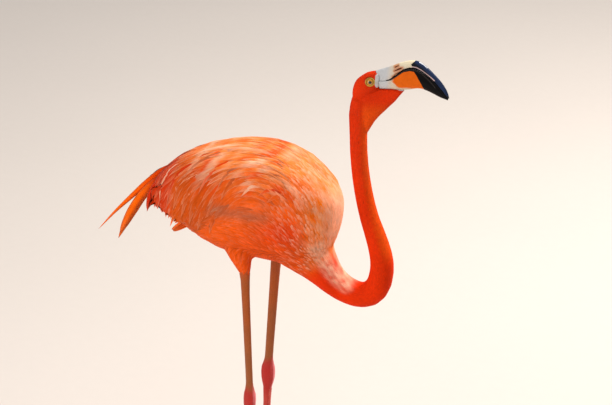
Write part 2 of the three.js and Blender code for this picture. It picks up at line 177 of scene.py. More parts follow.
def applied(obj):
    """Turns the object's modifiers into its mesh."""
    graph = bpy.context.evaluated_depsgraph_get()
    mesh = bpy.data.meshes.new_from_object(obj.evaluated_get(graph))
    old = obj.data
    obj.modifiers.clear()
    obj.data = mesh
    bpy.data.meshes.remove(old)
    return obj


def remesh(obj, voxel):
    modifier = obj.modifiers.new("voxels", "REMESH")
    modifier.mode = "VOXEL"
    modifier.voxel_size = voxel
    modifier.use_smooth_shade = True
    return applied(obj)


def relax(mesh, rounds, weight=None, shrink=0.5, swell=-0.53):
    """Evens out a mesh without shrinking it."""
    points = vertex_array(mesh)
    a, b = edge_array(mesh).T
    count = np.bincount(a, minlength=len(points)) + np.bincount(b, minlength=len(points))
    count = np.maximum(count, 1)[:, None]
    weight = 1.0 if weight is None else weight[:, None]
    for _ in range(rounds):
        for step in (shrink, swell):
            total = np.empty_like(points)
            for axis in range(3):
                total[:, axis] = np.bincount(a, points[b, axis], len(points)) + np.bincount(
                    b, points[a, axis], len(points)
                )
            points = points + (total / count - points) * step * weight
    set_vertices(mesh, points)


def joined(name, *objects):
    """One mesh object of several, which are removed."""
    points, faces, start = [], [], 0
    for obj in objects:
        mesh = obj.data
        mesh.calc_loop_triangles()
        tris = np.empty(len(mesh.loop_triangles) * 3, dtype=np.int64)
        mesh.loop_triangles.foreach_get("vertices", tris)
        points.append(vertex_array(mesh))
        faces.append(tris.reshape(-1, 3) + start)
        start += len(mesh.vertices)
        bpy.data.objects.remove(obj)
    return add_object(name, mesh_from(name, np.concatenate(points), np.concatenate(faces)))


class Surface:
    """A mesh that points can be dropped onto."""

    def __init__(self, mesh):
        self.points = vertex_array(mesh)
        self.normals = normal_array(mesh)
        mesh.calc_loop_triangles()
        tris = np.empty(len(mesh.loop_triangles) * 3, dtype=np.int64)
        mesh.loop_triangles.foreach_get("vertices", tris)
        self.tris = tris.reshape(-1, 3)
        self.tree = BVHTree.FromPolygons(self.points.tolist(), self.tris.tolist())

    def drop(self, points):
        """The nearest places on the surface, and its smooth normals there."""
        spots = np.empty_like(points)
        faces = np.empty(len(points), dtype=np.int64)
        nearest = self.tree.find_nearest
        for i, p in enumerate(points.tolist()):
            spot, _, face, _ = nearest(p)
            spots[i] = spot
            faces[i] = face
        corners = self.tris[faces]
        a, b, c = (self.points[corners[:, k]] for k in range(3))
        area = lambda u, v: np.linalg.norm(np.cross(u, v), axis=1)
        wa, wb, wc = area(b - spots, c - spots), area(c - spots, a - spots), area(a - spots, b - spots)
        normals = sum(self.normals[corners[:, k]] * w[:, None] for k, w in enumerate((wa, wb, wc)))
        return spots, unit(normals)

    def scatter(self, spacing, keep):
        """Evenly spread places: spacing is a length or a function of points, keep a mask of points."""
        a, b, c = (self.points[self.tris[:, k]] for k in range(3))
        middle = (a + b + c) / 3
        gap = spacing(middle) if callable(spacing) else np.full(len(middle), spacing)
        area = np.linalg.norm(np.cross(b - a, c - a), axis=1) / 2
        expected = np.where(keep(middle), area / gap**2 * 4.0, 0)
        chosen = np.repeat(np.arange(len(area)), rng.poisson(expected))
        rng.shuffle(chosen)
        u, v = rng.random((2, len(chosen)))
        flip = u + v > 1
        u, v = np.where(flip, 1 - u, u), np.where(flip, 1 - v, v)
        a, b, c = a[chosen], b[chosen], c[chosen]
        spots = a + (b - a) * u[:, None] + (c - a) * v[:, None]
        return spots[apart(spots, gap[chosen])]


def apart(spots, gaps):
    """Indices of spots that keep their gap from those taken before."""
    cell = float(gaps.max())
    keys = np.floor(spots / cell).astype(int)
    taken, kept = {}, []
    around = [(i, j, k) for i in (-1, 0, 1) for j in (-1, 0, 1) for k in (-1, 0, 1)]
    for index, (key, spot, gap) in enumerate(zip(map(tuple, keys.tolist()), spots.tolist(), gaps.tolist())):
        limit = gap * gap
        x, y, z = spot
        for i, j, k in around:
            near = taken.get((key[0] + i, key[1] + j, key[2] + k))
            if near and any((x - q[0]) ** 2 + (y - q[1]) ** 2 + (z - q[2]) ** 2 < limit for q in near):
                break
        else:
            taken.setdefault(key, []).append(spot)
            kept.append(index)
    return np.array(kept, dtype=int)


class Line:
    """A smooth line through points, which other points are measured along."""

    def __init__(self, points, per_span=6):
        points = np.asarray(points, dtype=float)
        ends = np.vstack([2 * points[0] - points[1], points, 2 * points[-1] - points[-2]])
        fine = []
        for i in range(len(points) - 1):
            a, b, c, d = ends[i : i + 4]
            for t in np.arange(per_span) / per_span:
                fine.append(
                    0.5
                    * (2 * b + (c - a) * t + (2 * a - 5 * b + 4 * c - d) * t**2 + (3 * b - a - 3 * c + d) * t**3)
                )
        self.points = np.vstack([fine, points[-1:]])
        steps = np.diff(self.points, axis=0)
        self.lengths = np.concatenate([[0], np.cumsum(np.linalg.norm(steps, axis=1))])
        self.tangents = unit(np.gradient(self.points, axis=0))
        self.length = self.lengths[-1]

    def nearest(self, points):
        """The line's nearest point to each of these: its index, and how far away it is."""
        best = np.full(len(points), np.inf)
        index = np.zeros(len(points), dtype=int)
        for i, q in enumerate(self.points):
            gap = np.einsum("ij,ij->i", points - q, points - q)
            closer = gap < best
            best[closer], index[closer] = gap[closer], i
        return index, np.sqrt(best)


NECK = Line(np.column_stack([NECK_LINE[:, 0], np.zeros(len(NECK_LINE)), NECK_LINE[:, 1]]) + FRAME_SHIFT)
NECK_REACH = np.interp(
    NECK.lengths, NECK.length * np.array([0, 0.35, 0.6, 0.75, 0.85, 0.92, 1]), np.array([30, 27, 34, 40, 52, 75, 90]) * MM
)  # farther from its line than this, a place isn't on the neck


def neck_index(p):
    """The nearest point of the neck's line, or its last one for places off the neck."""
    index, gap = NECK.nearest(p)
    near_head = (p[:, 2] > 0.86) & (p[:, 0] > 0.15)
    return np.where((gap > NECK_REACH[index]) & ~near_head, len(NECK.points) - 1, index)


NECK_ENDS = float(NECK.lengths[neck_index(NECK_BASE[None] + [0.024, 0, -0.027])[0]])  # where the breast begins


def to_head(points):
    """Places in the head's own axes: x towards the bill, y to its left, z up."""
    c, s = math.cos(HEAD_TURN), math.sin(HEAD_TURN)
    return (points - HEAD_AT) @ np.array([[c, -s, 0], [s, c, 0], [0, 0, 1]])


def from_head(points):
    c, s = math.cos(HEAD_TURN), math.sin(HEAD_TURN)
    return points @ np.array([[c, s, 0], [-s, c, 0], [0, 0, 1]]) + HEAD_AT


# ---------- where things are on the bird ----------


def along_neck(p):
    """How far down the neck each place is, in metres from the crown."""
    return NECK.lengths[neck_index(p)]


def on_head(p):
    return smooth_step(0.878, 0.905, p[:, 2]) * (p[:, 0] > 0.15)


def on_neck(p):
    """1 on the neck, 0 on the trunk and the head."""
    below = smooth_step(NECK_ENDS - 0.01, NECK_ENDS + 0.03, along_neck(p))
    return (1 - on_head(p)) * (1 - below)


def on_thigh(p):
    return smooth_step(0.635, 0.600, p[:, 2]) * smooth_step(0.085, 0.060, p[:, 0])


def on_leg(p):
    """1 on the bare part of the legs."""
    near = np.zeros(len(p))
    for x, y in LEG_TOPS:
        near = np.maximum(near, smooth_step(0.034, 0.028, np.hypot(p[:, 0] - x, p[:, 1] - y)))
    low = smooth_step(0.560, 0.550, p[:, 2]) * (p[:, 0] < 0.09)
    return np.maximum(low, smooth_step(0.588, 0.578, p[:, 2]) * near)


def on_wing(p):
    """1 where the folded wings cover the trunk's sides and back."""
    edge = np.interp(p[:, 0], WING_EDGE[:, 0], WING_EDGE[:, 1])
    front = smooth_step(0.125, 0.100, p[:, 0])
    return smooth_step(edge - 0.004, edge + 0.006, p[:, 2]) * front


WING_EDGE = np.array([[-190, 690], [-176, 664], [-147, 655], [-115, 640], [-87, 630], [-59, 660], [-27, 688], [13, 697], [63, 697], [111, 700], [135, 714]]) * MM


def bare_face(p):
    """Signed distance in metres past the edge of the face's feathers, towards the bill."""
    q = to_head(p)
    edge = np.interp(q[:, 2], [-0.016, -0.010, -0.004, 0.010, 0.016, 0.020], [0.060, 0.010, 0.0075, 0.0078, 0.0125, 0.0150])
    return q[:, 0] - edge


def lie(p):
    """Which way the coat lies at each place, before it is laid flat on the skin."""
    index = neck_index(p)
    down_neck = NECK.tangents[index]
    head = on_head(p)[:, None]
    from_bill = unit(to_head(p) - [0.022, 0, 0.004])
    c, s = math.cos(HEAD_TURN), math.sin(HEAD_TURN)
    from_bill = from_bill @ np.array([[c, s, 0], [-s, c, 0], [0, 0, 1]])
    upper = unit(mix(down_neck, from_bill, head * 0.8))
    from_breast = unit(p - BREAST_ROOT)
    far = smooth_step(0.075, 0.140, np.linalg.norm(p[:, ::2] - SWIRL_INNER, axis=1))[:, None]
    hub = mix(SWIRL_INNER, SWIRL_OUTER, far)
    swirl = np.column_stack([-np.maximum(p[:, 2] - hub[:, 1], 0.045), np.zeros(len(p)), p[:, 0] - hub[:, 0]])
    swirl = unit(swirl)
    under = unit(np.broadcast_to([-1.0, 0, -0.30], p.shape))
    low = smooth_step(0.700, 0.655, p[:, 2])[:, None] * smooth_step(-0.10, -0.04, p[:, 0])[:, None]
    flow = unit(mix(swirl, under, low))
    away = smooth_step(0.085, 0.200, np.linalg.norm(p - NECK_BASE, axis=1))[:, None]
    trunk = unit(mix(from_breast, flow, away))
    thigh = on_thigh(p)[:, None]
    trunk = unit(mix(trunk, np.array([-0.15, 0, -1.0]), thigh))
    rear = (smooth_step(-0.085, -0.12, p[:, 0]) * smooth_step(0.665, 0.645, p[:, 2]))[:, None]
    trunk = unit(mix(trunk, np.array([-0.8, 0, -0.6]), rear))
    body = smooth_step(NECK_ENDS - 0.03, NECK_ENDS + 0.02, NECK.lengths[index])[:, None]
    return unit(mix(upper, trunk, body))


def coat_depth(p):
    """How far the skin lies inside the feathers' tips."""
    depth = mix(0.0015, 0.0006, on_neck(p))
    depth = mix(depth, 0.0008, smooth_step(0.14, 0.06, np.linalg.norm(p - NECK_BASE, axis=1)) * (1 - on_neck(p)))
    depth = mix(depth, 0.0011, on_thigh(p))
    depth = mix(depth, 0.0005, on_head(p))
    depth = depth * smooth_step(0.001, -0.003, bare_face(p) * on_head(p) - (1 - on_head(p)))
    return depth * (1 - on_leg(p))


# ---------- markings and painted light and shade, shared by the skin and the coat ---


def srgb(*values):
    """Linear light from the 0 to 255 numbers that paint charts give."""
    v = np.array(values, dtype=float) / 255
    return tuple(np.where(v <= 0.04045, v / 12.92, ((v + 0.055) / 1.055) ** 2.4))


def wander(p, scale, seed):
    """A slow, smooth and repeatable variation over space, about -1 to 1."""
    local = np.random.default_rng(seed)
    total = np.zeros(len(p))
    for _ in range(5):
        way = unit(local.normal(size=3)) / scale * local.uniform(0.7, 1.6)
        total += np.sin(p @ way * 2 * math.pi + local.uniform(0, 6.3))
    return total / 3


PALE_PATCH = Line(np.array([[130, 38, 634], [138, 18, 600], [154, 12, 576], [172, 9, 561]]) * MM)


def sweep_bands(p):
    """Paler and deeper bands that follow the sweep of the wing's long feathers, -1 to 1."""
    r = np.hypot(p[:, 0] - SWIRL_INNER[0], p[:, 2] - SWIRL_INNER[1] + 0.012)
    turn = np.arctan2(p[:, 2] - SWIRL_INNER[1], p[:, 0] - SWIRL_INNER[0])
    swing = 0.35 * np.sin(turn * 2.3 + 1.0) + 0.25 * np.sin(turn * 4.1 + r * 30)
    band = np.sin(2 * math.pi * (r / 0.026 + swing)) + 0.7 * np.sin(2 * math.pi * (r / 0.0135 - swing * 1.4) + 1.3)
    return np.clip(band * (0.6 + 0.4 * np.sin(turn * 5 + r * 55)), -1, 1)


def markings_and_painted_light(p):
    """The plumage's colour at each place, with its painted sunlight and shade, and how pale its feathers' margins are.
    """
    colours = bpy.context.scene.flamingo_plumage
    neck, body, back, belly, vermilion, pale = (
        np.array(c) for c in (colours.neck, colours.body, colours.back, colours.belly, colours.tail, colours.margin)
    )
    head = on_head(p)[:, None]
    upright = np.minimum(on_neck(p)[:, None] + head, 1)
    # Painted shade: the long feathers that hang over the rump take the darker rear colour, as if turned away from the
    # light.
    shaded_hanging = (on_wing(p) * smooth_step(0.010, -0.080, p[:, 0]) * smooth_step(0.770, 0.735, p[:, 2]))[:, None]
    high = smooth_step(0.60, 0.70, p[:, 2])[:, None]
    # Towards the top of the back the plumage turns paler in colour, pale bands and margins: partly its own colour,
    # partly painted sunlight on the top.
    top = smooth_step(0.715, 0.785, p[:, 2])[:, None]
    c = mix(belly, body, high)
    c = mix(c, back, top * 0.85)
    c = mix(c, np.array(colours.rear), shaded_hanging * 0.85)
    band = sweep_bands(p)[:, None] * on_wing(p)[:, None] * smooth_step(0.70, 0.75, p[:, 2])[:, None]
    c = mix(c, np.array(colours.blush), np.clip(band, 0, 1) * mix(0.28, 0.70, top))
    c = mix(c, np.array(colours.deep), np.clip(-band, 0, 1) * 0.75)
    breast = (smooth_step(0.19, 0.09, np.linalg.norm(p - NECK_BASE, axis=1)) * smooth_step(0.72, 0.64, p[:, 2]))[:, None]
    c = mix(c, neck, breast * 0.3)
    flank = np.exp(-(((p[:, 0] - 0.085) / 0.045) ** 2) - ((p[:, 2] - 0.668) / 0.028) ** 2)[:, None]
    c = mix(c, neck, flank * 0.7)
    # The breast's front is paler, in colour and margins: partly its feathers' pale tips, partly painted sunlight on the
    # side facing the light.
    front = smooth_step(0.095, 0.150, p[:, 0]) * (1 - upright[:, 0]) * smooth_step(0.54, 0.60, p[:, 2])
    c = mix(c, back, front[:, None] * 0.8)
    c = mix(c, np.array(colours.blush), (front * (0.14 + 0.28 * wander(p, 0.02, 5)))[:, None])
    # Painted highlight: the breast's front edge is whitened where the light falls.
    painted_highlight_breast = smooth_step(0.135, 0.158, p[:, 0]) * smooth_step(0.60, 0.64, p[:, 2]) * smooth_step(0.77, 0.74, p[:, 2])
    c = mix(c, np.array(colours.blush), (painted_highlight_breast * 0.6)[:, None])
    index = neck_index(p)
    # Painted light: the side of the neck that faces the light is made more orange.
    painted_sunlit_neck = smooth_step(0.004, 0.016, p[:, 0] - NECK.points[index][:, 0]) * smooth_step(0.600, 0.640, p[:, 2]) * (1 - head[:, 0])
    c = mix(c, mix(neck, body, 0.55 * painted_sunlit_neck[:, None]), upright)
    _, gap = PALE_PATCH.nearest(np.column_stack([p[:, 0], np.abs(p[:, 1]), p[:, 2]]))
    c = mix(c, np.array(colours.blush), (smooth_step(0.022, 0.004, gap) * (0.55 + 0.35 * wander(p, 0.011, 8)))[:, None])
    # Painted shade: a greyed mauve band on the flank just under the wing's lower edge, where the wing shades it.
    wear_and_shade = np.exp(-(((p[:, 2] - 0.694) / 0.013) ** 2)) * smooth_step(0.075, 0.045, p[:, 0]) * smooth_step(-0.075, -0.045, p[:, 0])
    c = mix(c, np.array(colours.mauve), (wear_and_shade * 0.8)[:, None])
    # Painted shade: the wing's rear edge is darkened to ember red.
    rear = on_wing(p) * smooth_step(-0.122, -0.145, p[:, 0]) * smooth_step(0.765, 0.735, p[:, 2])
    c = mix(c, np.array(colours.ember), (rear * 0.8)[:, None])
    rump = (smooth_step(-0.10, -0.135, p[:, 0]) * smooth_step(0.665, 0.64, p[:, 2]))[:, None]
    c = mix(c, vermilion, rump)
    c = c * (1 + 0.07 * wander(p, 0.05, 11)[:, None])
    # The margins' paleness grows towards the top of the back: partly painted sunlight.
    edge = 0.05 + 0.40 * top[:, 0] + 0.08 * high[:, 0]
    edge = np.maximum(edge, 0.28 * front)
    edge = edge * (1 - 0.85 * upright[:, 0]) * (1 - 0.6 * on_thigh(p))
    return np.clip(c, 0, 1), np.clip(edge, 0, 1), pale


# ---------- feathers ----------

NARROW = ((-1, 0), (0, 1), (1, 0))  # across in half widths, up in thicknesses
BROAD = ((-1, 0), (-0.55, 0.8), (0, 1.35), (0.55, 0.8), (1, 0), (0, 0.15))


class Coat:
    """Collects vanes, and makes them one mesh."""

    def __init__(self, chart):
        self.chart = chart
        self.points, self.quads, self.tris = [], [], []
        self.vane, self.bake, self.tone, self.edge, self.normal = [], [], [], [], []
        self.count = 0

    def add(self, spine, up, half, thick, profile, tone, edge, cup=0.0, roll=0.4):
        """Vanes along spines of shape (n, stations, 3), with the last station their tip.

        Their normals stay close to the body's, which keeps the plumage soft; roll rounds each vane."""
        n, stations, _ = spine.shape
        rings = stations - 1
        k = len(profile)
        ahead = np.gradient(spine, axis=1)
        ahead = unit(ahead)
        up = unit(up - ahead * np.sum(up * ahead, axis=2, keepdims=True))
        right = np.cross(ahead, up)
        across = np.array([a for a, _ in profile])
        rise = np.array([b for _, b in profile])
        h = half[:, :rings, None, None]
        t = np.broadcast_to(np.asarray(thick, dtype=float).reshape(-1, 1, 1, 1), (n, rings, k, 1))
        lifted = rise[None, None, :, None] * t - cup * h * (across**2)[None, None, :, None]
        ring = spine[:, :rings, None] + right[:, :rings, None] * h * across[None, None, :, None] + up[:, :rings, None] * lifted
        points = np.concatenate([ring.reshape(n, rings * k, 3), spine[:, -1:]], axis=1)
        per = rings * k + 1
        i, j = np.meshgrid(np.arange(rings - 1), np.arange(k), indexing="ij")
        j2 = (j + 1) % k
        quads = np.stack([i * k + j, i * k + j2, (i + 1) * k + j2, (i + 1) * k + j], axis=-1).reshape(-1, 4)
        last = (rings - 1) * k
        tip = [[last + j, last + (j + 1) % k, rings * k] for j in range(k)]
        root = [[0, j + 1, j] for j in range(1, k - 1)]
        tris = np.array(tip + root)
        starts = self.count + np.arange(n)[:, None, None] * per
        self.points.append(points.reshape(-1, 3))
        self.quads.append((quads[None] + starts).reshape(-1, 4))
        self.tris.append((tris[None] + starts).reshape(-1, 3))
        u = np.concatenate([np.tile((across + 1) / 2, rings), [0.5]])
        v = np.concatenate([np.repeat(np.arange(rings) / rings, k), [1.0]])
        vane = np.broadcast_to(np.column_stack([u, v]), (n, per, 2)).reshape(-1, 2)
        self.vane.append(vane)
        spot = self.chart(spine[:, 0])
        self.bake.append(np.repeat(spot, per, axis=0) + (vane - 0.5) * 0.003)
        tone = np.broadcast_to(tone.reshape(n, -1, 3), (n, stations, 3))
        tone = np.concatenate([np.repeat(tone[:, :rings], k, axis=1), tone[:, -1:]], axis=1)
        self.tone.append(tone.reshape(-1, 3))
        self.edge.append(np.repeat(np.broadcast_to(edge, (n,)), per))
        below = np.array([b < 0.5 and abs(a) < 1 for a, b in profile])[None, None, :, None]
        soft = unit(np.where(below, -1, 1) * up[:, :rings, None] + right[:, :rings, None] * across[None, None, :, None] * roll)
        self.normal.append(np.concatenate([soft.reshape(n, rings * k, 3), up[:, -1:]], axis=1).reshape(-1, 3))
        self.count += n * per

    def build(self, name, soft=True):
        mesh = mesh_from(name, np.concatenate(self.points), [np.concatenate(self.quads), np.concatenate(self.tris)])
        loops = np.empty(len(mesh.loops), dtype=np.int64)
        mesh.loops.foreach_get("vertex_index", loops)
        for label, data in (("OFBake", self.bake), ("Vane", self.vane)):
            layer = mesh.uv_layers.new(name=label)
            layer.uv.foreach_set("vector", np.concatenate(data)[loops].astype(np.float32).ravel())
        tone = np.concatenate(self.tone)
        tone = np.column_stack([tone, np.ones(len(tone))])
        mesh.attributes.new("Tone", "FLOAT_COLOR", "POINT").data.foreach_set("color", tone.astype(np.float32).ravel())
        edge = np.concatenate(self.edge).astype(np.float32)
        mesh.attributes.new("Margin", "FLOAT", "POINT").data.foreach_set("value", edge)
        if soft:
            mesh.normals_split_custom_set_from_vertices(np.concatenate(self.normal).astype(np.float32))
        return add_object(name, mesh)


def march(surface, roots, length, stations, way=lie, hug=0.45):
    """Lays each feather's middle line over the surface, along the lie of the coat.

    It also says what length of each one lies on the surface, before it leaves an edge."""
    n = len(roots)
    spine = np.empty((n, stations, 3))
    up = np.empty_like(spine)
    spot, normal = surface.drop(roots)
    step = (length / (stations - 1))[:, None]
    free = np.zeros(n, dtype=bool)
    laid = np.zeros(n)
    course = None
    for i in range(stations):
        spine[:, i], up[:, i] = spot, normal
        if i == stations - 1:
            break
        heading = way(spot)
        heading = unit(heading - normal * np.sum(heading * normal, axis=1, keepdims=True))
        course = heading if course is None else np.where(free[:, None], course, heading)
        ahead = spot + course * step
        landed, there = surface.drop(ahead)
        off = np.linalg.norm(landed - ahead, axis=1)
        outside = np.sum((landed - ahead) * normal, axis=1) < 0
        free |= outside & ((off > hug * step[:, 0]) | (np.sum(there * normal, axis=1) < 0.35))
        laid += np.where(free, 0, step[:, 0])
        spot = np.where(free[:, None], ahead, landed)
        normal = np.where(free[:, None], normal, there)
    return spine, up, laid


def bed(spine, up, depth, lift, curve=1.5):
    """Sinks the roots to the skin and lets the tips rise."""
    stations = spine.shape[1]
    t = np.linspace(0, 1, stations)[None, :, None]
    return spine + up * (-np.reshape(depth, (-1, 1, 1)) * (1 - t) ** curve + np.reshape(lift, (-1, 1, 1)) * t**2)


def outline(stations, widest, root, tip):
    """Half widths of a vane from root to tip, 1 at its widest."""
    t = np.linspace(0, 1, stations)
    rise = root + (1 - root) * np.sin(np.clip(t / widest, 0, 1) * math.pi / 2)
    fall = (1 - np.clip((t - widest) / (1 - widest), 0, 1) ** tip) ** 0.75
    return rise * fall


# ---------- materials ----------


class Sock:
    """A shader socket that sums can be written with."""

    def __init__(self, paint, socket):
        self.paint, self.socket = paint, socket

    def math(self, operation, *values):
        return self.paint.node("ShaderNodeMath", {"operation": operation}, dict(enumerate(values)))

    def __add__(self, other):
        return self.math("ADD", self, other)

    def __sub__(self, other):
        return self.math("SUBTRACT", self, other)

    def __mul__(self, other):
        return self.math("MULTIPLY", self, other)

    def __truediv__(self, other):
        return self.math("DIVIDE", self, other)

    def __radd__(self, other):
        return self.math("ADD", other, self)

    def __rsub__(self, other):
        return self.math("SUBTRACT", other, self)

    def __rmul__(self, other):
        return self.math("MULTIPLY", other, self)

    def __abs__(self):
        return self.math("ABSOLUTE", self)

    def __pow__(self, other):
        return self.math("POWER", self, other)

    def sin(self):
        return self.math("SINE", self)

    def most(self, other):
        return self.math("MAXIMUM", self, other)

    def least(self, other):
        return self.math("MINIMUM", self, other)

    def step(self, low, high):
        """0 below low, 1 above high, and smooth between them."""
        return self.paint.node(
            "ShaderNodeMapRange",
            {"interpolation_type": "SMOOTHSTEP"},
            {"Value": self, "From Min": low, "From Max": high},
        )


class Paint:
    """One material, built from expressions."""

    def __init__(self, name):
        self.material = bpy.data.materials.new(name)
        self.material.use_nodes = True
        self.tree = self.material.node_tree
        self.tree.nodes.clear()

    def node(self, kind, settings=None, values=None, out=0):
        """Adds a node: its settings first, then its sockets' values or links."""
        node = self.tree.nodes.new(kind)
        for key, value in (settings or {}).items():
            if key == "stops":
                ramp = node.color_ramp.elements
                for _ in range(len(value) - len(ramp)):
                    ramp.new(0.5)
                for element, (place, colour) in zip(ramp, value):
                    element.position, element.color = place, (*colour, 1)
            else:
                setattr(node, key, value)
        for key, value in (values or {}).items():
            socket = node.inputs[key]
            if isinstance(value, Sock):
                self.tree.links.new(value.socket, socket)
            elif isinstance(value, (tuple, list)) and len(value) == 3 and socket.type == "RGBA":
                socket.default_value = (*value, 1)
            else:
                socket.default_value = value
        return Sock(self, node.outputs[out])

    def blend(self, share, a, b, way="MIX"):
        """Mixes two colours."""
        settings = {"data_type": "RGBA", "blend_type": way, "clamp_result": False}
        return self.node("ShaderNodeMix", settings, {0: share, 6: a, 7: b}, out=2)

    def shade(self, colour, amount):
        """Makes a colour darker or lighter by a factor."""
        grey = self.node("ShaderNodeCombineColor", None, {0: amount, 1: amount, 2: amount})
        return self.blend(1.0, colour, grey, "MULTIPLY")

    def attribute(self, name, out="Fac"):
        return self.node("ShaderNodeAttribute", {"attribute_name": name}, None, out)

    def place(self, centre=(0, 0, 0), turn=0.0, scale=(1, 1, 1)):
        """Object coordinates about a centre, turned about the vertical and scaled."""
        here = self.node("ShaderNodeTexCoord", None, None, "Object")
        moved = self.node("ShaderNodeVectorMath", {"operation": "SUBTRACT"}, {0: here, 1: tuple(centre)})
        return self.node("ShaderNodeMapping", None, {"Vector": moved, "Rotation": (0, 0, -turn), "Scale": scale})

    def split(self, vector):
        return [self.node("ShaderNodeSeparateXYZ", None, {0: vector}, axis) for axis in "XYZ"]

    def join(self, x, y, z):
        return self.node("ShaderNodeCombineXYZ", None, {0: x, 1: y, 2: z})

    def noise(self, vector, scale, detail=2.0, rough=0.5, warp=0.0):
        values = {"Vector": vector, "Scale": scale, "Detail": detail, "Roughness": rough, "Distortion": warp}
        return self.node("ShaderNodeTexNoise", None, values)

    def cells(self, vector, scale, feature="F1", out="Distance"):
        return self.node("ShaderNodeTexVoronoi", {"feature": feature}, {"Vector": vector, "Scale": scale}, out)

    def bump(self, height, distance, strength=1.0):
        values = {"Height": height, "Distance": distance, "Strength": strength}
        return self.node("ShaderNodeBump", None, values)

    def finish(self, colour, roughness, normal=None, **constants):
        """Ends the tree in a Principled surface; the constants stand on its own sockets."""
        values = {"Base Color": colour, "Roughness": roughness}
        if normal is not None:
            values["Normal"] = normal
        values.update({key.replace("_", " "): value for key, value in constants.items()})
        surface = self.node("ShaderNodeBsdfPrincipled", None, values)
        end = self.tree.nodes.new("ShaderNodeOutputMaterial")
        self.tree.links.new(surface.socket, end.inputs["Surface"])
        return self.material


def paint_feathers(name, barbs, slant, streak=0.5, roughness=0.6):
    """Vanes with barbs that slant from the shaft, pale margins and a darker root."""
    p = Paint(name)
    pale = tuple(bpy.context.scene.flamingo_plumage.margin)
    across, along, _ = p.split(p.node("ShaderNodeUVMap", {"uv_map": "Vane"}))
    side = abs(across * 2 - 1)
    barb = along - side * slant
    here = p.place()
    patch = p.noise(here, 60, 2)
    fine = p.noise(p.join(barb * (barbs * 0.22), side * 0.9, patch * 3), 1.0, 3, 0.6)
    ridge = (barb * (barbs * 2 * math.pi)).sin()
    tone = p.attribute("Tone", "Color")
    margin = p.attribute("Margin")
    tone = p.shade(tone, 0.80 + 0.22 * along.step(0.0, 0.6) + (fine - 0.5) * (0.55 * streak))
    rim = (side + (fine - 0.5) * 0.7).step(0.45, 1.0) + (along + (fine - 0.5) * 0.3).step(0.72, 1.02)
    colour = p.blend((rim * margin).least(0.92), tone, pale)
    height = ridge * 0.25 + fine * streak
    normal = p.bump(height, 0.0004, 0.5)
    rough = roughness - 0.1 + 0.2 * fine
    return p.finish(colour, rough, normal, Specular_IOR_Level=0.06)


def put(obj, *materials):
    obj.data.materials.clear()
    for material in materials:
        obj.data.materials.append(material)
    return obj


def place_in_frame(obj, slot, *nodes):
    """Hands a finished piece to the frame."""
    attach(obj, BODY)
    if nodes:
        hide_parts(*nodes)
    return obj


# ---------- the sizes and colours that a user would change ----------


def colour_prop(name, description, default):
    return FloatVectorProperty(
        name=name, description=description, default=default, subtype="COLOR", size=3, min=0.0, max=1.0
    )


def length_prop(name, description, default, low=0.0001, high=0.5):
    return FloatProperty(
        name=name, description=description, default=default, min=low, max=high, subtype="DISTANCE", unit="LENGTH"
    )


class FLAMINGO_PG_plumage(bpy.types.PropertyGroup):
    """Colours and spacing of the feathers."""

    neck: colour_prop("Neck", "Head and neck feathers", srgb(224, 48, 1))
    body: colour_prop("Body", "Sides and wings", srgb(238, 90, 10))
    # Back: partly the plumage's own paler colour, partly painted sunlight on the top of the back and the breast's
    # front.
    back: colour_prop("Back", "Top of the back", srgb(254, 140, 62))
    belly: colour_prop("Belly", "Underside", srgb(226, 84, 4))
    tail: colour_prop("Tail", "Tail and the plumes that droop over it", srgb(252, 104, 2))
    margin: colour_prop("Margins", "Pale edges of the larger feathers", srgb(248, 180, 138))
    # Rear of the wing: painted shade, a darker colour for the feathers that hang over the rump.
    rear: colour_prop("Rear of the wing", "Long feathers that hang over the rump", srgb(196, 74, 6))
    deep: colour_prop("Deep bands", "Most coloured of the wing's long feathers", srgb(236, 66, 0))
    # Pale bands: also painted sunlight on the breast's front and on the back's top.
    blush: colour_prop("Pale bands", "Palest of the wing's long feathers", srgb(252, 194, 160))
    # Mauve: the colour of some long wing feathers, and painted shade in a band just under the wing's lower edge.
    mauve: colour_prop("Greyed bands", "Worn feathers along the wing's lower edge", srgb(178, 88, 54))
    # Ember: painted shade, the darkest red, used on the wing's rear edge, on some long wing feathers and on the plumes
    # and the tail.
    ember: colour_prop("Shadowed bands", "Darkest red of the wing and rump", srgb(206, 44, 4))
    flight: colour_prop("Flight feathers", "Primaries that show below the folded wings", srgb(12, 10, 11))
    neck_gap: length_prop("Neck spacing", "Distance between the neck's feathers", 0.0017)
    head_gap: length_prop("Head spacing", "Distance between the head's feathers", 0.0010)
    body_gap: length_prop("Body spacing", "Distance between the breast and belly feathers", 0.0043)
    wing_gap: length_prop("Wing spacing", "Distance between the roots of the wing's feathers", 0.0085)


class FLAMINGO_PG_bare(bpy.types.PropertyGroup):
    """Colours of the bare parts."""

    lores: colour_prop("Lores", "Bare skin between the eye and the bill", srgb(198, 197, 197))
    bill_pale: colour_prop("Bill base", "Pale part of the bill", srgb(214, 196, 172))
    bill_orange: colour_prop("Bill middle", "Orange part of the lower bill", srgb(226, 98, 2))
    bill_black: colour_prop("Bill tip", "Black part of the bill", srgb(3, 3, 4))
    iris: colour_prop("Iris", "Eye colour", srgb(214, 150, 24))
    lid: colour_prop("Eyelid", "Rim around the eye", srgb(206, 166, 52))
    # Shank: partly the leg's own colour, partly painted orange light reflected from the body.
    shank: colour_prop("Shank", "Leg above the ankle", srgb(168, 76, 10))
    leg: colour_prop("Leg", "Leg below the ankle and the feet", srgb(192, 62, 48))
    ankle: colour_prop("Ankle", "Ankle joint", srgb(184, 36, 26))
    claw: colour_prop("Claw", "Claws", srgb(60, 44, 40))
    scute_pitch: length_prop("Scute pitch", "Distance between the plates on the front of the leg", 0.0056)


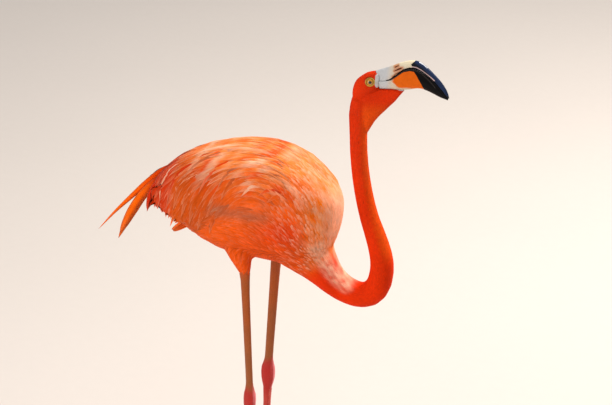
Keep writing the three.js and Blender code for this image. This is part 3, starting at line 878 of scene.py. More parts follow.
class FLAMINGO_PG_studio(bpy.types.PropertyGroup):
    """Camera, floor and light."""

    azimuth: FloatProperty(name="Azimuth", description="Camera's turn round the bird", default=math.radians(22), subtype="ANGLE")
    elevation: FloatProperty(name="Elevation", description="Camera's height above the horizon", default=math.radians(24), subtype="ANGLE")
    lens: FloatProperty(name="Lens", description="Focal length", default=148.235, min=20, max=400, subtype="DISTANCE_CAMERA")
    floor: colour_prop("Floor", "Floor colour", srgb(218, 208, 200))
    key: FloatProperty(name="Key light", description="Power of the main light", default=165.0, min=0, subtype="POWER", unit="POWER")


# ---------- operators ----------


def placed_camera(settings):
    """The camera, looking along the level line of sight that the settings give."""
    azimuth, elevation = settings.azimuth, settings.elevation
    back = Vector((math.sin(azimuth) * math.cos(elevation), -math.cos(azimuth) * math.cos(elevation), math.sin(elevation)))
    camera = bpy.data.cameras.new("camera")
    camera.lens, camera.sensor_width = settings.lens, 36
    camera.clip_start, camera.clip_end = 0.1, 100
    obj = bpy.data.objects.new("camera", camera)
    obj.location = CAMERA_AT
    obj.rotation_mode = "QUATERNION"
    obj.rotation_quaternion = (-back).to_track_quat("-Z", "Y")
    bpy.context.scene.collection.objects.link(obj)
    bpy.context.scene.camera = obj
    return obj


CAMERA_AT = (1.57085, -3.65133, 2.44966)
BIRD_MIDDLE = Vector((0, 0, 0.65))


def area_light(name, offset, size, power, colour):
    light = bpy.data.lights.new(name, "AREA")
    light.shape, light.size, light.energy, light.color = "DISK", size, power, colour
    obj = bpy.data.objects.new(name, light)
    obj.location = BIRD_MIDDLE + Vector(offset)
    obj.rotation_mode = "QUATERNION"
    obj.rotation_quaternion = (-Vector(offset)).to_track_quat("-Z", "Y")
    bpy.context.scene.collection.objects.link(obj)
    return obj


class FLAMINGO_OT_studio(bpy.types.Operator):
    """Adds the camera, the pale floor and the soft lights"""

    bl_idname = "flamingo.studio"
    bl_label = "Studio"

    def execute(self, context):
        settings = context.scene.flamingo_studio
        placed_camera(settings)
        area_light("key", (1.5, 1.9, 2.5), 1.4, settings.key, (1.0, 0.96, 0.90))
        area_light("fill", (-1.2, -2.6, 1.2), 2.4, settings.key * 0.35, (1.0, 0.98, 0.96))
        world = bpy.data.worlds.new("studio_air")
        world.use_nodes = True
        world.node_tree.nodes["Background"].inputs["Color"].default_value = (0.92, 0.93, 0.95, 1)
        world.node_tree.nodes["Background"].inputs["Strength"].default_value = 0.46
        context.scene.world = world
        context.scene.view_settings.view_transform = "Standard"
        span = 30.0
        corners = np.array([[-span, -span, 0], [span, -span, 0], [span, span, 0], [-span, span, 0]])
        floor = add_object("floor", mesh_from("floor", corners, np.array([[0, 1, 2, 3]])))
        paint = Paint("studio_floor")
        here = paint.place()
        mottle = paint.noise(here, 1.4, 4) * 0.6 + paint.noise(here, 45, 3) * 0.4
        colour = paint.shade(tuple(settings.floor), 0.96 + mottle * 0.08)
        put(floor, paint.finish(colour, 0.75 + mottle * 0.15, paint.bump(mottle, 0.002, 0.2)))
        return {"FINISHED"}


FLESH = [
    "trunk", "wing_right", "wing_left", "neck_lower", "neck_middle", "neck_upper", "head",
    *(f"{part}_{side}" for part in ("thigh", "shank", "ankle", "tarsus", "foot") for side in SIDES),
]  # fmt: skip
FORM = {}  # surfaces that later operators build on


def the_form():
    """The whole bird's outline, feather tips included, as one closed mesh."""
    trunk = ["trunk", "wing_right", "wing_left", "thigh_right", "thigh_left", "neck_lower", "neck_middle", "neck_upper"]
    body = remesh(copy_of_nodes("body", trunk), 0.004)
    relax(body.data, 20)
    head = remesh(copy_of_nodes("head_form", ["head", "neck_upper"]), 0.0012)
    relax(head.data, 10)
    legs = remesh(copy_of_nodes("legs_form", [n for n in FLESH if n.split("_")[0] in ("shank", "ankle", "tarsus", "foot")]), 0.0010)
    relax(legs.data, 8)
    return remesh(joined("form", body, head, legs), 0.0013)


def thin_out(obj, weight, target):
    """Collapses faces where the weight is high until the mesh has about this many triangles."""
    group = obj.vertex_groups.new(name="coarse")
    bands = np.round(weight * 8).astype(int)
    for band in range(1, 9):
        group.add(np.flatnonzero(bands == band).tolist(), band / 8, "REPLACE")
    obj.data.calc_loop_triangles()
    modifier = obj.modifiers.new("thin", "DECIMATE")
    modifier.ratio = target / len(obj.data.loop_triangles)
    modifier.vertex_group = "coarse"
    modifier.vertex_group_factor = 1000
    modifier.use_collapse_triangulate = True
    applied(obj)
    obj.vertex_groups.clear()
    return obj


class FLAMINGO_OT_skin(bpy.types.Operator):
    """Makes the one skin that lies under the coat and shows on the face, legs and feet"""

    bl_idname = "flamingo.skin"
    bl_label = "Skin"

    def execute(self, context):
        form = the_form()
        relax(form.data, 6)
        FORM["coat"] = Surface(form.data)
        points = vertex_array(form.data)
        covered = (1 - on_leg(points)) * (1 - on_head(points))
        thin_out(form, covered, 185_000)
        points, normals = vertex_array(form.data), normal_array(form.data)
        form.name = "skin"
        depth = coat_depth(points)
        inward = BVHTree.FromPolygons(points.tolist(), [tuple(f.vertices) for f in form.data.polygons])
        under = points - normals * 1e-5
        through = np.array([inward.ray_cast(p, n, 0.03)[3] or 0.03 for p, n in zip(under.tolist(), (-normals).tolist())])
        set_vertices(form.data, points - normals * np.minimum(depth, through * 0.3)[:, None])
        relax(form.data, 10, depth > 0.0010, swell=0)
        points = vertex_array(form.data)
        landed, outward = FORM["coat"].drop(points)
        proud = np.sum((points - landed) * outward, axis=1) + depth * 0.5
        set_vertices(form.data, points - outward * np.where(depth > 0.0003, np.maximum(proud, 0), 0)[:, None])
        points = vertex_array(form.data)
        FORM["skin"] = Surface(form.data)
        # The skin takes the plumage's colours, painted sunlight and shade included.
        tone, _, _ = markings_and_painted_light(points)
        tone = np.column_stack([tone, np.ones(len(tone))]).astype(np.float32)
        form.data.attributes.new("Tone", "FLOAT_COLOR", "POINT").data.foreach_set("color", tone.ravel())
        bare = np.where(on_head(points) > 0.5, bare_face(points), -1)
        form.data.attributes.new("Bare", "FLOAT", "POINT").data.foreach_set("value", bare.astype(np.float32))
        # Painted highlight: this marks where the skin faces the light, for a pink highlight on the ankles.
        front = smooth_step(0.72, 0.97, normal_array(form.data) @ unit(np.array([0.95, -0.15, 0.2])))
        for label, field in (("Leg", on_leg(points)), ("Front", front)):
            layer = form.data.attributes.new(label, "FLOAT", "POINT")
            layer.data.foreach_set("value", field.astype(np.float32))
        put(form, paint_skin(context.scene.flamingo_bare))
        place_in_frame(form, "plumage", *FLESH)
        return {"FINISHED"}


def paint_skin(colours):
    """Feathered skin, the bare face and the scaly legs in one finish."""
    p = Paint("bird_skin")
    here = p.place()
    _, _, height = p.split(here)
    mottle = p.noise(here, 140, 3)
    tone = p.shade(p.attribute("Tone", "Color"), 0.75 + mottle * 0.4)
    pores = p.cells(here, 900)
    lores = p.blend(mottle.step(0.35, 0.7) * 0.5, tuple(colours.lores), srgb(186, 160, 150))
    bare = p.attribute("Bare").step(-0.0006, 0.0004)
    colour = p.blend(bare, tone, lores)
    scale_edges = p.cells(here, 520, "DISTANCE_TO_EDGE")
    wear = p.noise(here, 30, 4)
    # The shank is brownish orange: partly the leg's own colour, partly painted light reflected onto it from the orange
    # body.
    shank = p.blend((height + (wear - 0.5) * 0.06).step(0.40, 0.50), srgb(156, 82, 34), tuple(colours.shank))
    leg = p.blend((height + (wear - 0.5) * 0.03).step(0.315, 0.350), tuple(colours.leg), shank)
    leg = p.blend((height + (wear - 0.5) * 0.02).step(0.545, 0.585) * 0.7, leg, tone)
    knob = (1 - abs(height - 0.312 + (wear - 0.5) * 0.03).step(0.020, 0.045))
    leg = p.blend(knob, leg, tuple(colours.ankle))
    # Painted highlight: a pink patch on the ankle's side that faces the light.
    leg = p.blend((p.attribute("Front") * knob * (wear + 0.3)).least(0.85), leg, srgb(236, 128, 132))
    leg = p.shade(leg, 0.72 + wear * 0.3 + scale_edges.step(0.0, 0.25) * 0.22)
    on_the_leg = p.attribute("Leg")
    colour = p.blend(on_the_leg, colour, leg)
    rough = 0.6 - bare * 0.12 - on_the_leg * 0.16 + mottle * 0.1
    relief = scale_edges.step(0.0, 0.3) * on_the_leg + pores * bare * 0.4
    return p.finish(colour, rough, p.bump(relief, 0.0004, 0.6), Specular_IOR_Level=0.3)


# ---------- the coat ----------


def neck_chart(p):
    """The neck unrolled: length down it and the angle round it."""
    index = neck_index(p)
    out = p - NECK.points[index]
    ahead = NECK.tangents[index]
    side = np.array([0.0, 1.0, 0.0])
    other = np.cross(ahead, side)
    angle = np.arctan2(out @ side, np.sum(out * other, axis=1))
    return np.column_stack([0.03 + 0.94 * NECK.lengths[index] / NECK.length, 0.5 + 0.47 * angle / math.pi])


def head_chart(p):
    """The head unrolled: the angle from the bill's line and the angle round it."""
    q = to_head(p) - [-0.004, 0, -0.004]
    round_it = np.arctan2(q[:, 1], q[:, 2])
    from_bill = np.arctan2(np.hypot(q[:, 1], q[:, 2]), q[:, 0])
    return np.column_stack([0.03 + 0.94 * from_bill / math.pi, 0.5 + 0.47 * round_it / math.pi])


def trunk_chart(p):
    """The trunk unrolled: length along it and the angle round it."""
    angle = np.arctan2(p[:, 1], p[:, 2] - 0.70)
    share = (p[:, 0] + 0.36) / 0.56
    return np.column_stack([0.03 + 0.94 * np.clip(share, 0, 1), 0.5 + 0.47 * angle / math.pi])


def spread(value, n, amount):
    return value * (1 + rng.uniform(-amount, amount, n))


def marked(spine):
    """The markings and painted light and shade along each feather, and how pale its margins are."""
    tone, edge, _ = markings_and_painted_light(spine.reshape(-1, 3))
    return tone.reshape(spine.shape), edge.reshape(spine.shape[:2]).mean(axis=1)


def grow(
    coat, roots, length, half, stations, profile, *,
    thick, depth, lift, widest=0.45, root=0.35, tip=1.5, cup=0.05, tint=0.06, roll=0.4, overhang=None, frost=None,
):  # fmt: skip
    """Adds feathers at these roots, shaped and coloured for where they grow."""
    if overhang is not None:
        _, _, laid = march(FORM["coat"], roots, length, stations)
        length = np.where(laid < length * 0.99, np.minimum(length, laid + overhang), length)
        keep = length > overhang * 2
        roots, length, half = roots[keep], length[keep], half[keep]
    n = len(roots)
    spine, up, _ = march(FORM["coat"], roots, length, stations)
    spine = bed(spine, up, depth(roots) if callable(depth) else depth, lift)
    width = outline(stations, widest, root, tip)[None] * np.reshape(half, (-1, 1))
    tone, edge = marked(spine)
    tone = np.clip(tone * (1 + rng.normal(0, tint, (n, 1, 1))), 0, 1)
    if frost is not None:
        share = frost(roots) * (rng.random(n) < 0.45) * rng.uniform(0.3, 1.0, n)
        tips = smooth_step(0.25, 0.95, np.linspace(0, 1, stations))[None, :, None]
        tone = mix(tone, np.array(bpy.context.scene.flamingo_plumage.blush), share[:, None, None] * tips)
    edge = np.clip(edge * rng.uniform(0.3, 1.5, n), 0, 1)
    coat.add(spine, up, width, thick, profile, tone, edge, cup, roll)


class FLAMINGO_OT_head_feathers(bpy.types.Operator):
    """Covers the head and throat with the smallest feathers"""

    bl_idname = "flamingo.head_feathers"
    bl_label = "Head feathers"

    def execute(self, context):
        gap = context.scene.flamingo_plumage.head_gap
        eye = lambda q, s: np.linalg.norm(q - np.array(EYE_AT) * [1, s, 1], axis=1)
        keep = lambda p: (on_head(p) > 0.5) & (bare_face(p) < -0.0005) & (eye(to_head(p), 1) > 0.0085) & (eye(to_head(p), -1) > 0.0085)
        roots = FORM["coat"].scatter(gap, keep)
        n = len(roots)
        face = smooth_step(-0.012, 0.0, bare_face(roots))
        length = spread(mix(0.0048, 0.0026, face), n, 0.2)
        coat = Coat(head_chart)
        grow(coat, roots, length, length * 0.24, 3, NARROW, thick=0.00012, depth=0.0004, lift=0.00005, tint=0.05, roll=0.15)
        put(coat.build("head_feathers"), paint_feathers("plumage_fine", 6, 0.3, 0.15, 0.7))
        place_in_frame(bpy.data.objects["head_feathers"], "plumage")
        return {"FINISHED"}


class FLAMINGO_OT_neck_feathers(bpy.types.Operator):
    """Covers the neck with small feathers that lie down it like velvet"""

    bl_idname = "flamingo.neck_feathers"
    bl_label = "Neck feathers"

    def execute(self, context):
        gap = context.scene.flamingo_plumage.neck_gap
        roots = FORM["coat"].scatter(gap, lambda p: on_neck(p) > 0.3)
        n = len(roots)
        down = along_neck(roots) / NECK.length
        length = spread(mix(0.0065, 0.0120, smooth_step(0.3, 0.9, down)), n, 0.2)
        coat = Coat(neck_chart)
        grow(coat, roots, length, length * 0.25, 3, NARROW, thick=0.00015, depth=0.0005, lift=0.00005, tint=0.05, roll=0.15)
        put(coat.build("neck_feathers"), bpy.data.materials["plumage_fine"])
        place_in_frame(bpy.data.objects["neck_feathers"], "plumage")
        return {"FINISHED"}


class FLAMINGO_OT_body_feathers(bpy.types.Operator):
    """Lays contour feathers over the breast, belly, flanks, rump and thighs"""

    bl_idname = "flamingo.body_feathers"
    bl_label = "Body feathers"

    def execute(self, context):
        gap = context.scene.flamingo_plumage.body_gap
        material = paint_feathers("plumage_body", 30, 0.20, 0.8)
        covered = lambda p: (on_neck(p) + on_head(p) < 0.6) & (on_leg(p) < 0.2) & (on_wing(p) < 0.7)
        breast = lambda p: p[:, 0] > 0.045
        for name, where in (("breast_feathers", breast), ("belly_feathers", lambda p: ~breast(p))):
            far = lambda p: gap * mix(0.8, 1.0, smooth_step(0.10, 0.20, np.linalg.norm(p - NECK_BASE, axis=1))) * mix(1.0, 0.8, on_thigh(p))
            roots = FORM["coat"].scatter(far, lambda p: covered(p) & where(p))
            n = len(roots)
            from_base = np.linalg.norm(roots - NECK_BASE, axis=1)
            length = spread(mix(0.018, 0.040, smooth_step(0.05, 0.20, from_base)) * mix(1, 0.7, on_thigh(roots)), n, 0.2)
            coat = Coat(trunk_chart)
            frost = lambda p: 0.10 + 0.55 * smooth_step(0.06, 0.13, p[:, 0])
            grow(coat, roots, length, length * 0.125, 5, BROAD, frost=frost, thick=0.0003, depth=lambda p: coat_depth(p) * 0.6, lift=0.00015, overhang=0.006, roll=0.18)
            put(coat.build(name), material)
            place_in_frame(bpy.data.objects[name], "plumage")
        return {"FINISHED"}


# The long feathers that show most on a folded wing: colour at the root and towards the tip, half width,
# and places that each one passes, in millimetres.
# Of these colours, rear and ember are painted shade.
SWEEPS = (
    ("rear", "rear", 10, ((29, -51, 774), (8, -64, 757), (-16, -76, 732), (-36, -83, 695), (-56, -68, 640))),
    ("deep", "rear", 10, ((16, -47, 777), (-12, -60, 760), (-40, -73, 731), (-60, -80, 689), (-78, -67, 643))),
    ("deep", "rear", 10, ((9, -40, 781), (-25, -55, 763), (-57, -67, 737), (-79, -75, 697), (-94, -68, 650))),
    ("blush", "rear", 10, ((3, -33, 784), (-39, -48, 767), (-75, -61, 741), (-96, -69, 703), (-110, -66, 660))),
    ("deep", "rear", 10, ((-6, -26, 788), (-56, -38, 770), (-94, -51, 743), (-117, -62, 706), (-126, -64, 670))),
    ("deep", "ember", 9, ((-19, -16, 789), (-75, -25, 771), (-114, -40, 743), (-134, -51, 710), (-139, -60, 679))),
    ("blush", "blush", 6, ((-39, -4, 787), (-97, -10, 767), (-137, -24, 740), (-154, -37, 713), (-154, -56, 681))),
    ("mauve", "ember", 8, ((-55, -8, 784), (-114, -12, 759), (-151, -19, 732), (-165, -31, 708), (-166, -48, 687))),
    ("back", "blush", 8, ((60, -3, 785), (18, -8, 793), (-34, -12, 788), (-79, -16, 773), (-107, -24, 757))),
    ("blush", "mauve", 7, ((69, -15, 784), (22, -18, 793), (-25, -24, 786), (-65, -31, 771), (-92, -43, 753), (-112, -55, 727))),
    ("deep", "deep", 6, ((29, -33, 785), (-9, -39, 780), (-38, -50, 766), (-59, -62, 745), (-73, -74, 713))),
    ("blush", "mauve", 6, ((50, -40, 778), (22, -44, 779), (-4, -52, 771), (-24, -62, 755), (-36, -74, 732))),
    ("mauve", "rear", 6, ((16, -55, 769), (-3, -62, 758), (-17, -74, 738), (-27, -82, 714))),
    ("mauve", "mauve", 3, ((95, -48, 754), (75, -53, 760), (48, -54, 767))),
    ("body", "blush", 5, ((67, -65, 749), (44, -69, 750), (24, -74, 742), (10, -81, 726))),
    ("ember", "deep", 5, ((91, -60, 743), (73, -69, 740), (56, -72, 742), (40, -78, 731))),
    ("ember", "body", 6, ((108, -57, 734), (90, -68, 732), (71, -73, 733), (56, -81, 722))),
    ("mauve", "mauve", 7, ((49, -83, 716), (9, -85, 712), (-24, -83, 702), (-47, -82, 689))),
)


def sweeps(coat, sign):
    """Adds the conspicuous long feathers of one wing."""
    colours = bpy.context.scene.flamingo_plumage
    stations = 14
    for first, last, half, places in SWEEPS:
        places = np.array(places) * MM
        places[:, 1] = FRAME_SHIFT[1] + (places[:, 1] - FRAME_SHIFT[1]) * -sign
        line = Line(places)
        spots, normals = FORM["coat"].drop(line.points)
        astray = (np.sum(normals * normals[0], axis=1) < -0.2) | (np.linalg.norm(spots - line.points, axis=1) > 0.009)
        turned = np.append(False, np.sum(normals[1:] * normals[:-1], axis=1) < 0.75)
        stop = int(np.argmax(astray | turned)) - 1 if (astray | turned).any() else len(spots) - 1
        at = np.linspace(0, line.lengths[stop], stations)
        path = np.column_stack([np.interp(at, line.lengths, line.points[:, k]) for k in range(3)])
        spine, up = FORM["coat"].drop(path)
        spine = bed(spine[None], up[None], 0.0022, 0.0008, 0.6) + up[None] * 0.0008
        width = outline(stations, 0.40, 0.35, 1.15)[None] * half * MM
        tone, _ = marked(spine)
        share = np.linspace(0, 1, stations)[:, None]
        own = mix(np.array(getattr(colours, first)), np.array(getattr(colours, last)), smooth_step(0.25, 0.7, share))
        tone = mix(tone, own * (1 + rng.normal(0, 0.03)), np.sin(np.linspace(0.12, 0.92, stations) * math.pi)[None, :, None] * 0.9)
        margin = 0.55 if last == "blush" else 0.22
        coat.add(spine, up[None], width, 0.0004, BROAD, np.clip(tone, 0, 1), margin, 0.06, 0.5)


def overlay(coat, near):
    """Adds broad feathers over the wing's finer ones, in bands of paler and deeper colour."""
    colours = bpy.context.scene.flamingo_plumage
    roots = FORM["coat"].scatter(0.016, near)
    outer = smooth_step(0.045, 0.110, np.linalg.norm(roots[:, ::2] - SWIRL_INNER, axis=1))
    keep = rng.random(len(roots)) < 0.35 + 0.65 * outer
    roots, outer = roots[keep], outer[keep]
    length = spread(mix(0.065, 0.140, outer), len(roots), 0.2)
    _, _, laid = march(FORM["coat"], roots, length, 14)
    length = np.where(laid < length * 0.99, np.minimum(length, laid + 0.008), length)
    roots, length = roots[length > 0.035], length[length > 0.035]
    n = len(roots)
    spine, up, _ = march(FORM["coat"], roots, length, 14)
    spine = bed(spine, up, 0.0019, 0.0006, 0.7) + up * 0.0003
    width = outline(14, 0.38, 0.35, 1.05)[None] * spread(0.0075, n, 0.25)[:, None]
    tone, edge = marked(spine)
    bands = np.array([colours.deep, colours.blush, colours.body])[rng.choice(3, n, p=[0.52, 0.16, 0.32])]
    bell = np.sin(np.linspace(0, math.pi, 14))[None, :, None]
    tone = mix(tone, bands[:, None], rng.uniform(0.1, 0.5, (n, 1, 1)) * bell)
    coat.add(spine, up, width, 0.0004, BROAD, np.clip(tone, 0, 1), np.clip(edge * rng.uniform(0.2, 1.0, n), 0, 1), 0.06, 0.5)


class FLAMINGO_OT_wing_feathers(bpy.types.Operator):
    """Lays the long feathers of the folded wings, which sweep back and curve down over the rump"""

    bl_idname = "flamingo.wing_feathers"
    bl_label = "Wing feathers"

    def execute(self, context):
        gap = context.scene.flamingo_plumage.wing_gap
        material = paint_feathers("plumage_wing", 90, 0.12, 0.9, 0.5)
        for side, sign in SIDES.items():
            near = lambda p: (on_wing(p) > 0.5) & (p[:, 1] * sign > 0.0005)
            finer = lambda p: gap * mix(0.55, 1.0, smooth_step(0.115, 0.060, p[:, 0]))
            roots = FORM["coat"].scatter(finer, near)
            n = len(roots)
            back = smooth_step(0.115, 0.030, roots[:, 0])
            outer = smooth_step(0.045, 0.110, np.linalg.norm(roots[:, ::2] - SWIRL_INNER, axis=1))
            length = spread(mix(0.034, mix(0.080, 0.150, outer), back), n, 0.2)
            half = spread(mix(0.0040, 0.0062, back), n, 0.2)
            coat = Coat(trunk_chart)
            grow(
                coat, roots, length, half, 12, BROAD,
                thick=0.0004, depth=0.0017, lift=0.0004, widest=0.40, tip=1.15, cup=0.06, overhang=0.004,
            )  # fmt: skip
            put(coat.build(f"wing_feathers_{side}"), material)
            place_in_frame(bpy.data.objects[f"wing_feathers_{side}"], "plumage")
            coat = Coat(trunk_chart)
            overlay(coat, lambda p: near(p) & (p[:, 0] < 0.095))
            sweeps(coat, sign)
            put(coat.build(f"wing_bands_{side}"), material)
            place_in_frame(bpy.data.objects[f"wing_bands_{side}"], "plumage")
        return {"FINISHED"}


class Blade:
    """The place of one long free feather: its middle line, its half widths and the way its width runs."""

    def __init__(self, rows, lateral):
        rows = np.array(rows) * MM
        self.line = Line(rows[:, :3] + FRAME_SHIFT)
        self.half = np.interp(np.linspace(0, len(rows) - 1, len(self.line.points)), np.arange(len(rows)), rows[:, 3])
        self.lateral = unit(np.array(lateral, dtype=float))

    def feather(self, stations, start, end, shift, fill, droop, twist):
        """One vane's middle line, normals and half widths between two shares of the blade's length."""
        share = np.linspace(start, end, stations)
        at = share * self.line.length
        spine = np.column_stack([np.interp(at, self.line.lengths, self.line.points[:, k]) for k in range(3)])
        half = np.interp(at, self.line.lengths, self.half)
        ahead = unit(np.gradient(spine, axis=0))
        face = unit(np.cross(self.lateral, ahead))
        spine = spine + self.lateral * (half * shift)[:, None] + face * (droop * np.linspace(0, 1, stations) ** 2)[:, None]
        face = unit(face + self.lateral * twist)
        t = np.linspace(0, 1, stations)
        taper = np.minimum(1, (t + 0.15) * 3) * (1 - t**9) ** 0.5
        return spine, face, half * fill * taper


def blade_chart(p):
    return np.column_stack([0.05 + 0.9 * np.clip((p[:, 0] + 0.36) / 0.34, 0, 1), 0.05 + 0.9 * np.clip((p[:, 2] - 0.52) / 0.24, 0, 1)])


# name, slot, rows of x, y, z, half width in millimetres, the way the width runs, colour, feathers side by side
# Ember in these colours is painted shade.
BLADES = (
    ("plume_left_long", "plumage_red", ((-150, 34, 722, 5), (-196, 40, 694, 6), (-232, 45, 662, 6), (-264, 49, 629, 5), (-302, 54, 589, 3), (-341, 60, 544, 1)), (0.77, 0.2, -0.62), ("deep", "tail"), 2),
    ("plume_left_broad", "plumage_red", ((-158, 22, 712, 8), (-200, 26, 682, 12), (-232, 28, 646, 13), (-255, 29, 610, 13), (-273, 30, 576, 10), (-286, 30, 548, 4)), (0.8, 0.1, 0.5), ("ember", "tail"), 3),
    ("plume_middle", "plumage_red", ((-160, -8, 706, 8), (-184, -6, 690, 10), (-200, -4, 664, 9), (-208, -2, 640, 6), (-213, 0, 625, 1)), (0.9, 0.1, 0.3), ("ember", "ember"), 3),
    ("primaries_right", "primaries", ((-70, -64, 648, 10), (-105, -61, 650, 13), (-140, -56, 657, 12), (-168, -48, 665, 9), (-186, -44, 667, 3)), (0, 0.5, -0.86), ("flight", "flight"), 3),
    ("primaries_left", "primaries", ((-80, 60, 680, 12), (-130, 54, 690, 15), (-170, 50, 690, 12), (-204, 49, 688, 6), (-231, 51, 671, 1)), (0, 0.35, 1), ("flight", "flight"), 3),
    ("tail", "plumage_red", ((-92, 0, 656, 26), (-120, 0, 634, 28), (-143, 0, 616, 25), (-157, 0, 605, 18), (-165, 0, 598, 6)), (0, 1, 0), ("ember", "tail"), 5),
)  # fmt: skip


class FLAMINGO_OT_plumes(bpy.types.Operator):
    """Makes the plumes that droop behind, the black primaries and the tail, each of several feathers"""

    bl_idname = "flamingo.plumes"
    bl_label = "Plumes and tail"

    def execute(self, context):
        colours = context.scene.flamingo_plumage
        plume = paint_feathers("plumage_plume", 150, 0.10, 0.9)
        for name, slot, rows, lateral, tones, count in BLADES:
            blade = Blade(rows, lateral)
            coat = Coat(blade_chart)
            stations = 22
            layers = (-0.9, -0.3, 0.3, 0.9) if name == "tail" else (0,)
            for layer, i in ((layer, i) for layer in layers for i in range(count)):
                across = (i + 0.5) / count * 2 - 1
                end = 0.90 + 0.10 * (1 - abs(across)) if count > 2 else 1 - 0.12 * i
                fill = min(1.0, 1.7 / count)
                spine, face, half = blade.feather(stations, 0, end, across * (1 - fill), fill, 0.0010 * (i % 3 - 1), 0.12 * across)
                spine = spine + face * (layer * 0.011 * (1 - np.linspace(0, 1, stations)) ** 0.7)[:, None]
                first, last = (np.array(getattr(colours, c)) for c in tones)
                tone = mix(first, last, smooth_step(0.15, 0.50, np.linspace(0, 1, stations))[:, None]) * rng.uniform(0.88, 1.10)
                half = np.maximum(half, 0.0006)
                coat.add(spine[None], face[None], half[None], 0.0006, BROAD, tone[None], 0.12 if last[0] > 0.1 else 0, cup=0.12)
            obj = put(coat.build(f"{name}_feathers", soft=False), plume)
            place_in_frame(obj, slot, name)
        return {"FINISHED"}


# ---------- head ----------

EYE_AT = (-0.001, 0.0116, 0.0)
EYE_RADIUS = 0.0068


def eye_axes(sign):
    """The way an eye looks, and two ways across it."""
    axis = unit(np.array([0.20, sign, 0.10]))
    one = unit(np.cross(axis, [0.0, 0.0, 1.0]))
    return axis, one, np.cross(axis, one)


def paint_eye(colours):
    p = Paint("eye")
    ring, turn, _ = p.split(p.node("ShaderNodeUVMap", {"uv_map": "Iris"}))
    rays = p.noise(p.join((turn * 2 * math.pi).sin() * 6, (turn * 2 * math.pi + math.pi / 2).sin() * 6, ring * 3), 2.5, 3)
    iris = p.blend(rays.step(0.3, 0.75), tuple(colours.iris), srgb(150, 84, 12))
    rim = p.blend(ring.step(0.27, 0.36), iris, srgb(96, 50, 14))
    pupil = 1 - ring.step(0.115, 0.13)
    colour = p.blend(pupil, rim, srgb(8, 7, 8))
    return p.finish(colour, 0.08 + ring * 0.05, None, Coat_Weight=1.0, Coat_Roughness=0.03)


class FLAMINGO_OT_eyes(bpy.types.Operator):
    """Makes the two eyes, with a cornea that stands proud of the ball"""

    bl_idname = "flamingo.eyes"
    bl_label = "Eyes"

    def execute(self, context):
        material = paint_eye(context.scene.flamingo_bare)
        for side, sign in SIDES.items():
            rings, turns = 40, 48
            polar = np.linspace(0, math.pi, rings + 1)[1:-1]
            angle = np.arange(turns) * 2 * math.pi / turns
            bulge = 1 + 0.05 * smooth_step(0.75, 0.2, polar)
            r = EYE_RADIUS * bulge
            axis, one, two = eye_axes(sign)
            shell = r[:, None, None] * (
                np.cos(polar)[:, None, None] * axis
                + np.sin(polar)[:, None, None] * (np.cos(angle)[None, :, None] * one + np.sin(angle)[None, :, None] * two)
            )
            points = np.concatenate([[axis * EYE_RADIUS * 1.05], shell.reshape(-1, 3), [-axis * EYE_RADIUS]])
            centre = np.array(EYE_AT) * [1, sign, 1]
            i, j = np.meshgrid(np.arange(len(polar) - 1), np.arange(turns), indexing="ij")
            j2 = (j + 1) % turns
            at = lambda a, b: 1 + a * turns + b
            quads = np.stack([at(i, j), at(i + 1, j), at(i + 1, j2), at(i, j2)], axis=-1).reshape(-1, 4)
            j = np.arange(turns)
            j2 = (j + 1) % turns
            last = len(polar) - 1
            top = np.column_stack([np.zeros(turns, int), at(0, j), at(0, j2)])
            end = np.column_stack([np.full(turns, len(points) - 1), at(last, j2), at(last, j)])
            mesh = mesh_from(f"eyeball_{side}", from_head(points + centre), [quads, np.concatenate([top, end])])
            loops = np.empty(len(mesh.loops), dtype=np.int64)
            mesh.loops.foreach_get("vertex_index", loops)
            from_axis = np.concatenate([[0], np.repeat(polar, turns), [math.pi]]) / math.pi
            turn = np.concatenate([[0], np.tile(angle, len(polar)), [0]]) / (2 * math.pi)
            layer = mesh.uv_layers.new(name="Iris")
            layer.uv.foreach_set("vector", np.column_stack([from_axis, turn])[loops].astype(np.float32).ravel())
            eye = put(add_object(f"eyeball_{side}", mesh), material)
            place_in_frame(eye, "eye", f"eye_{side}")
        return {"FINISHED"}


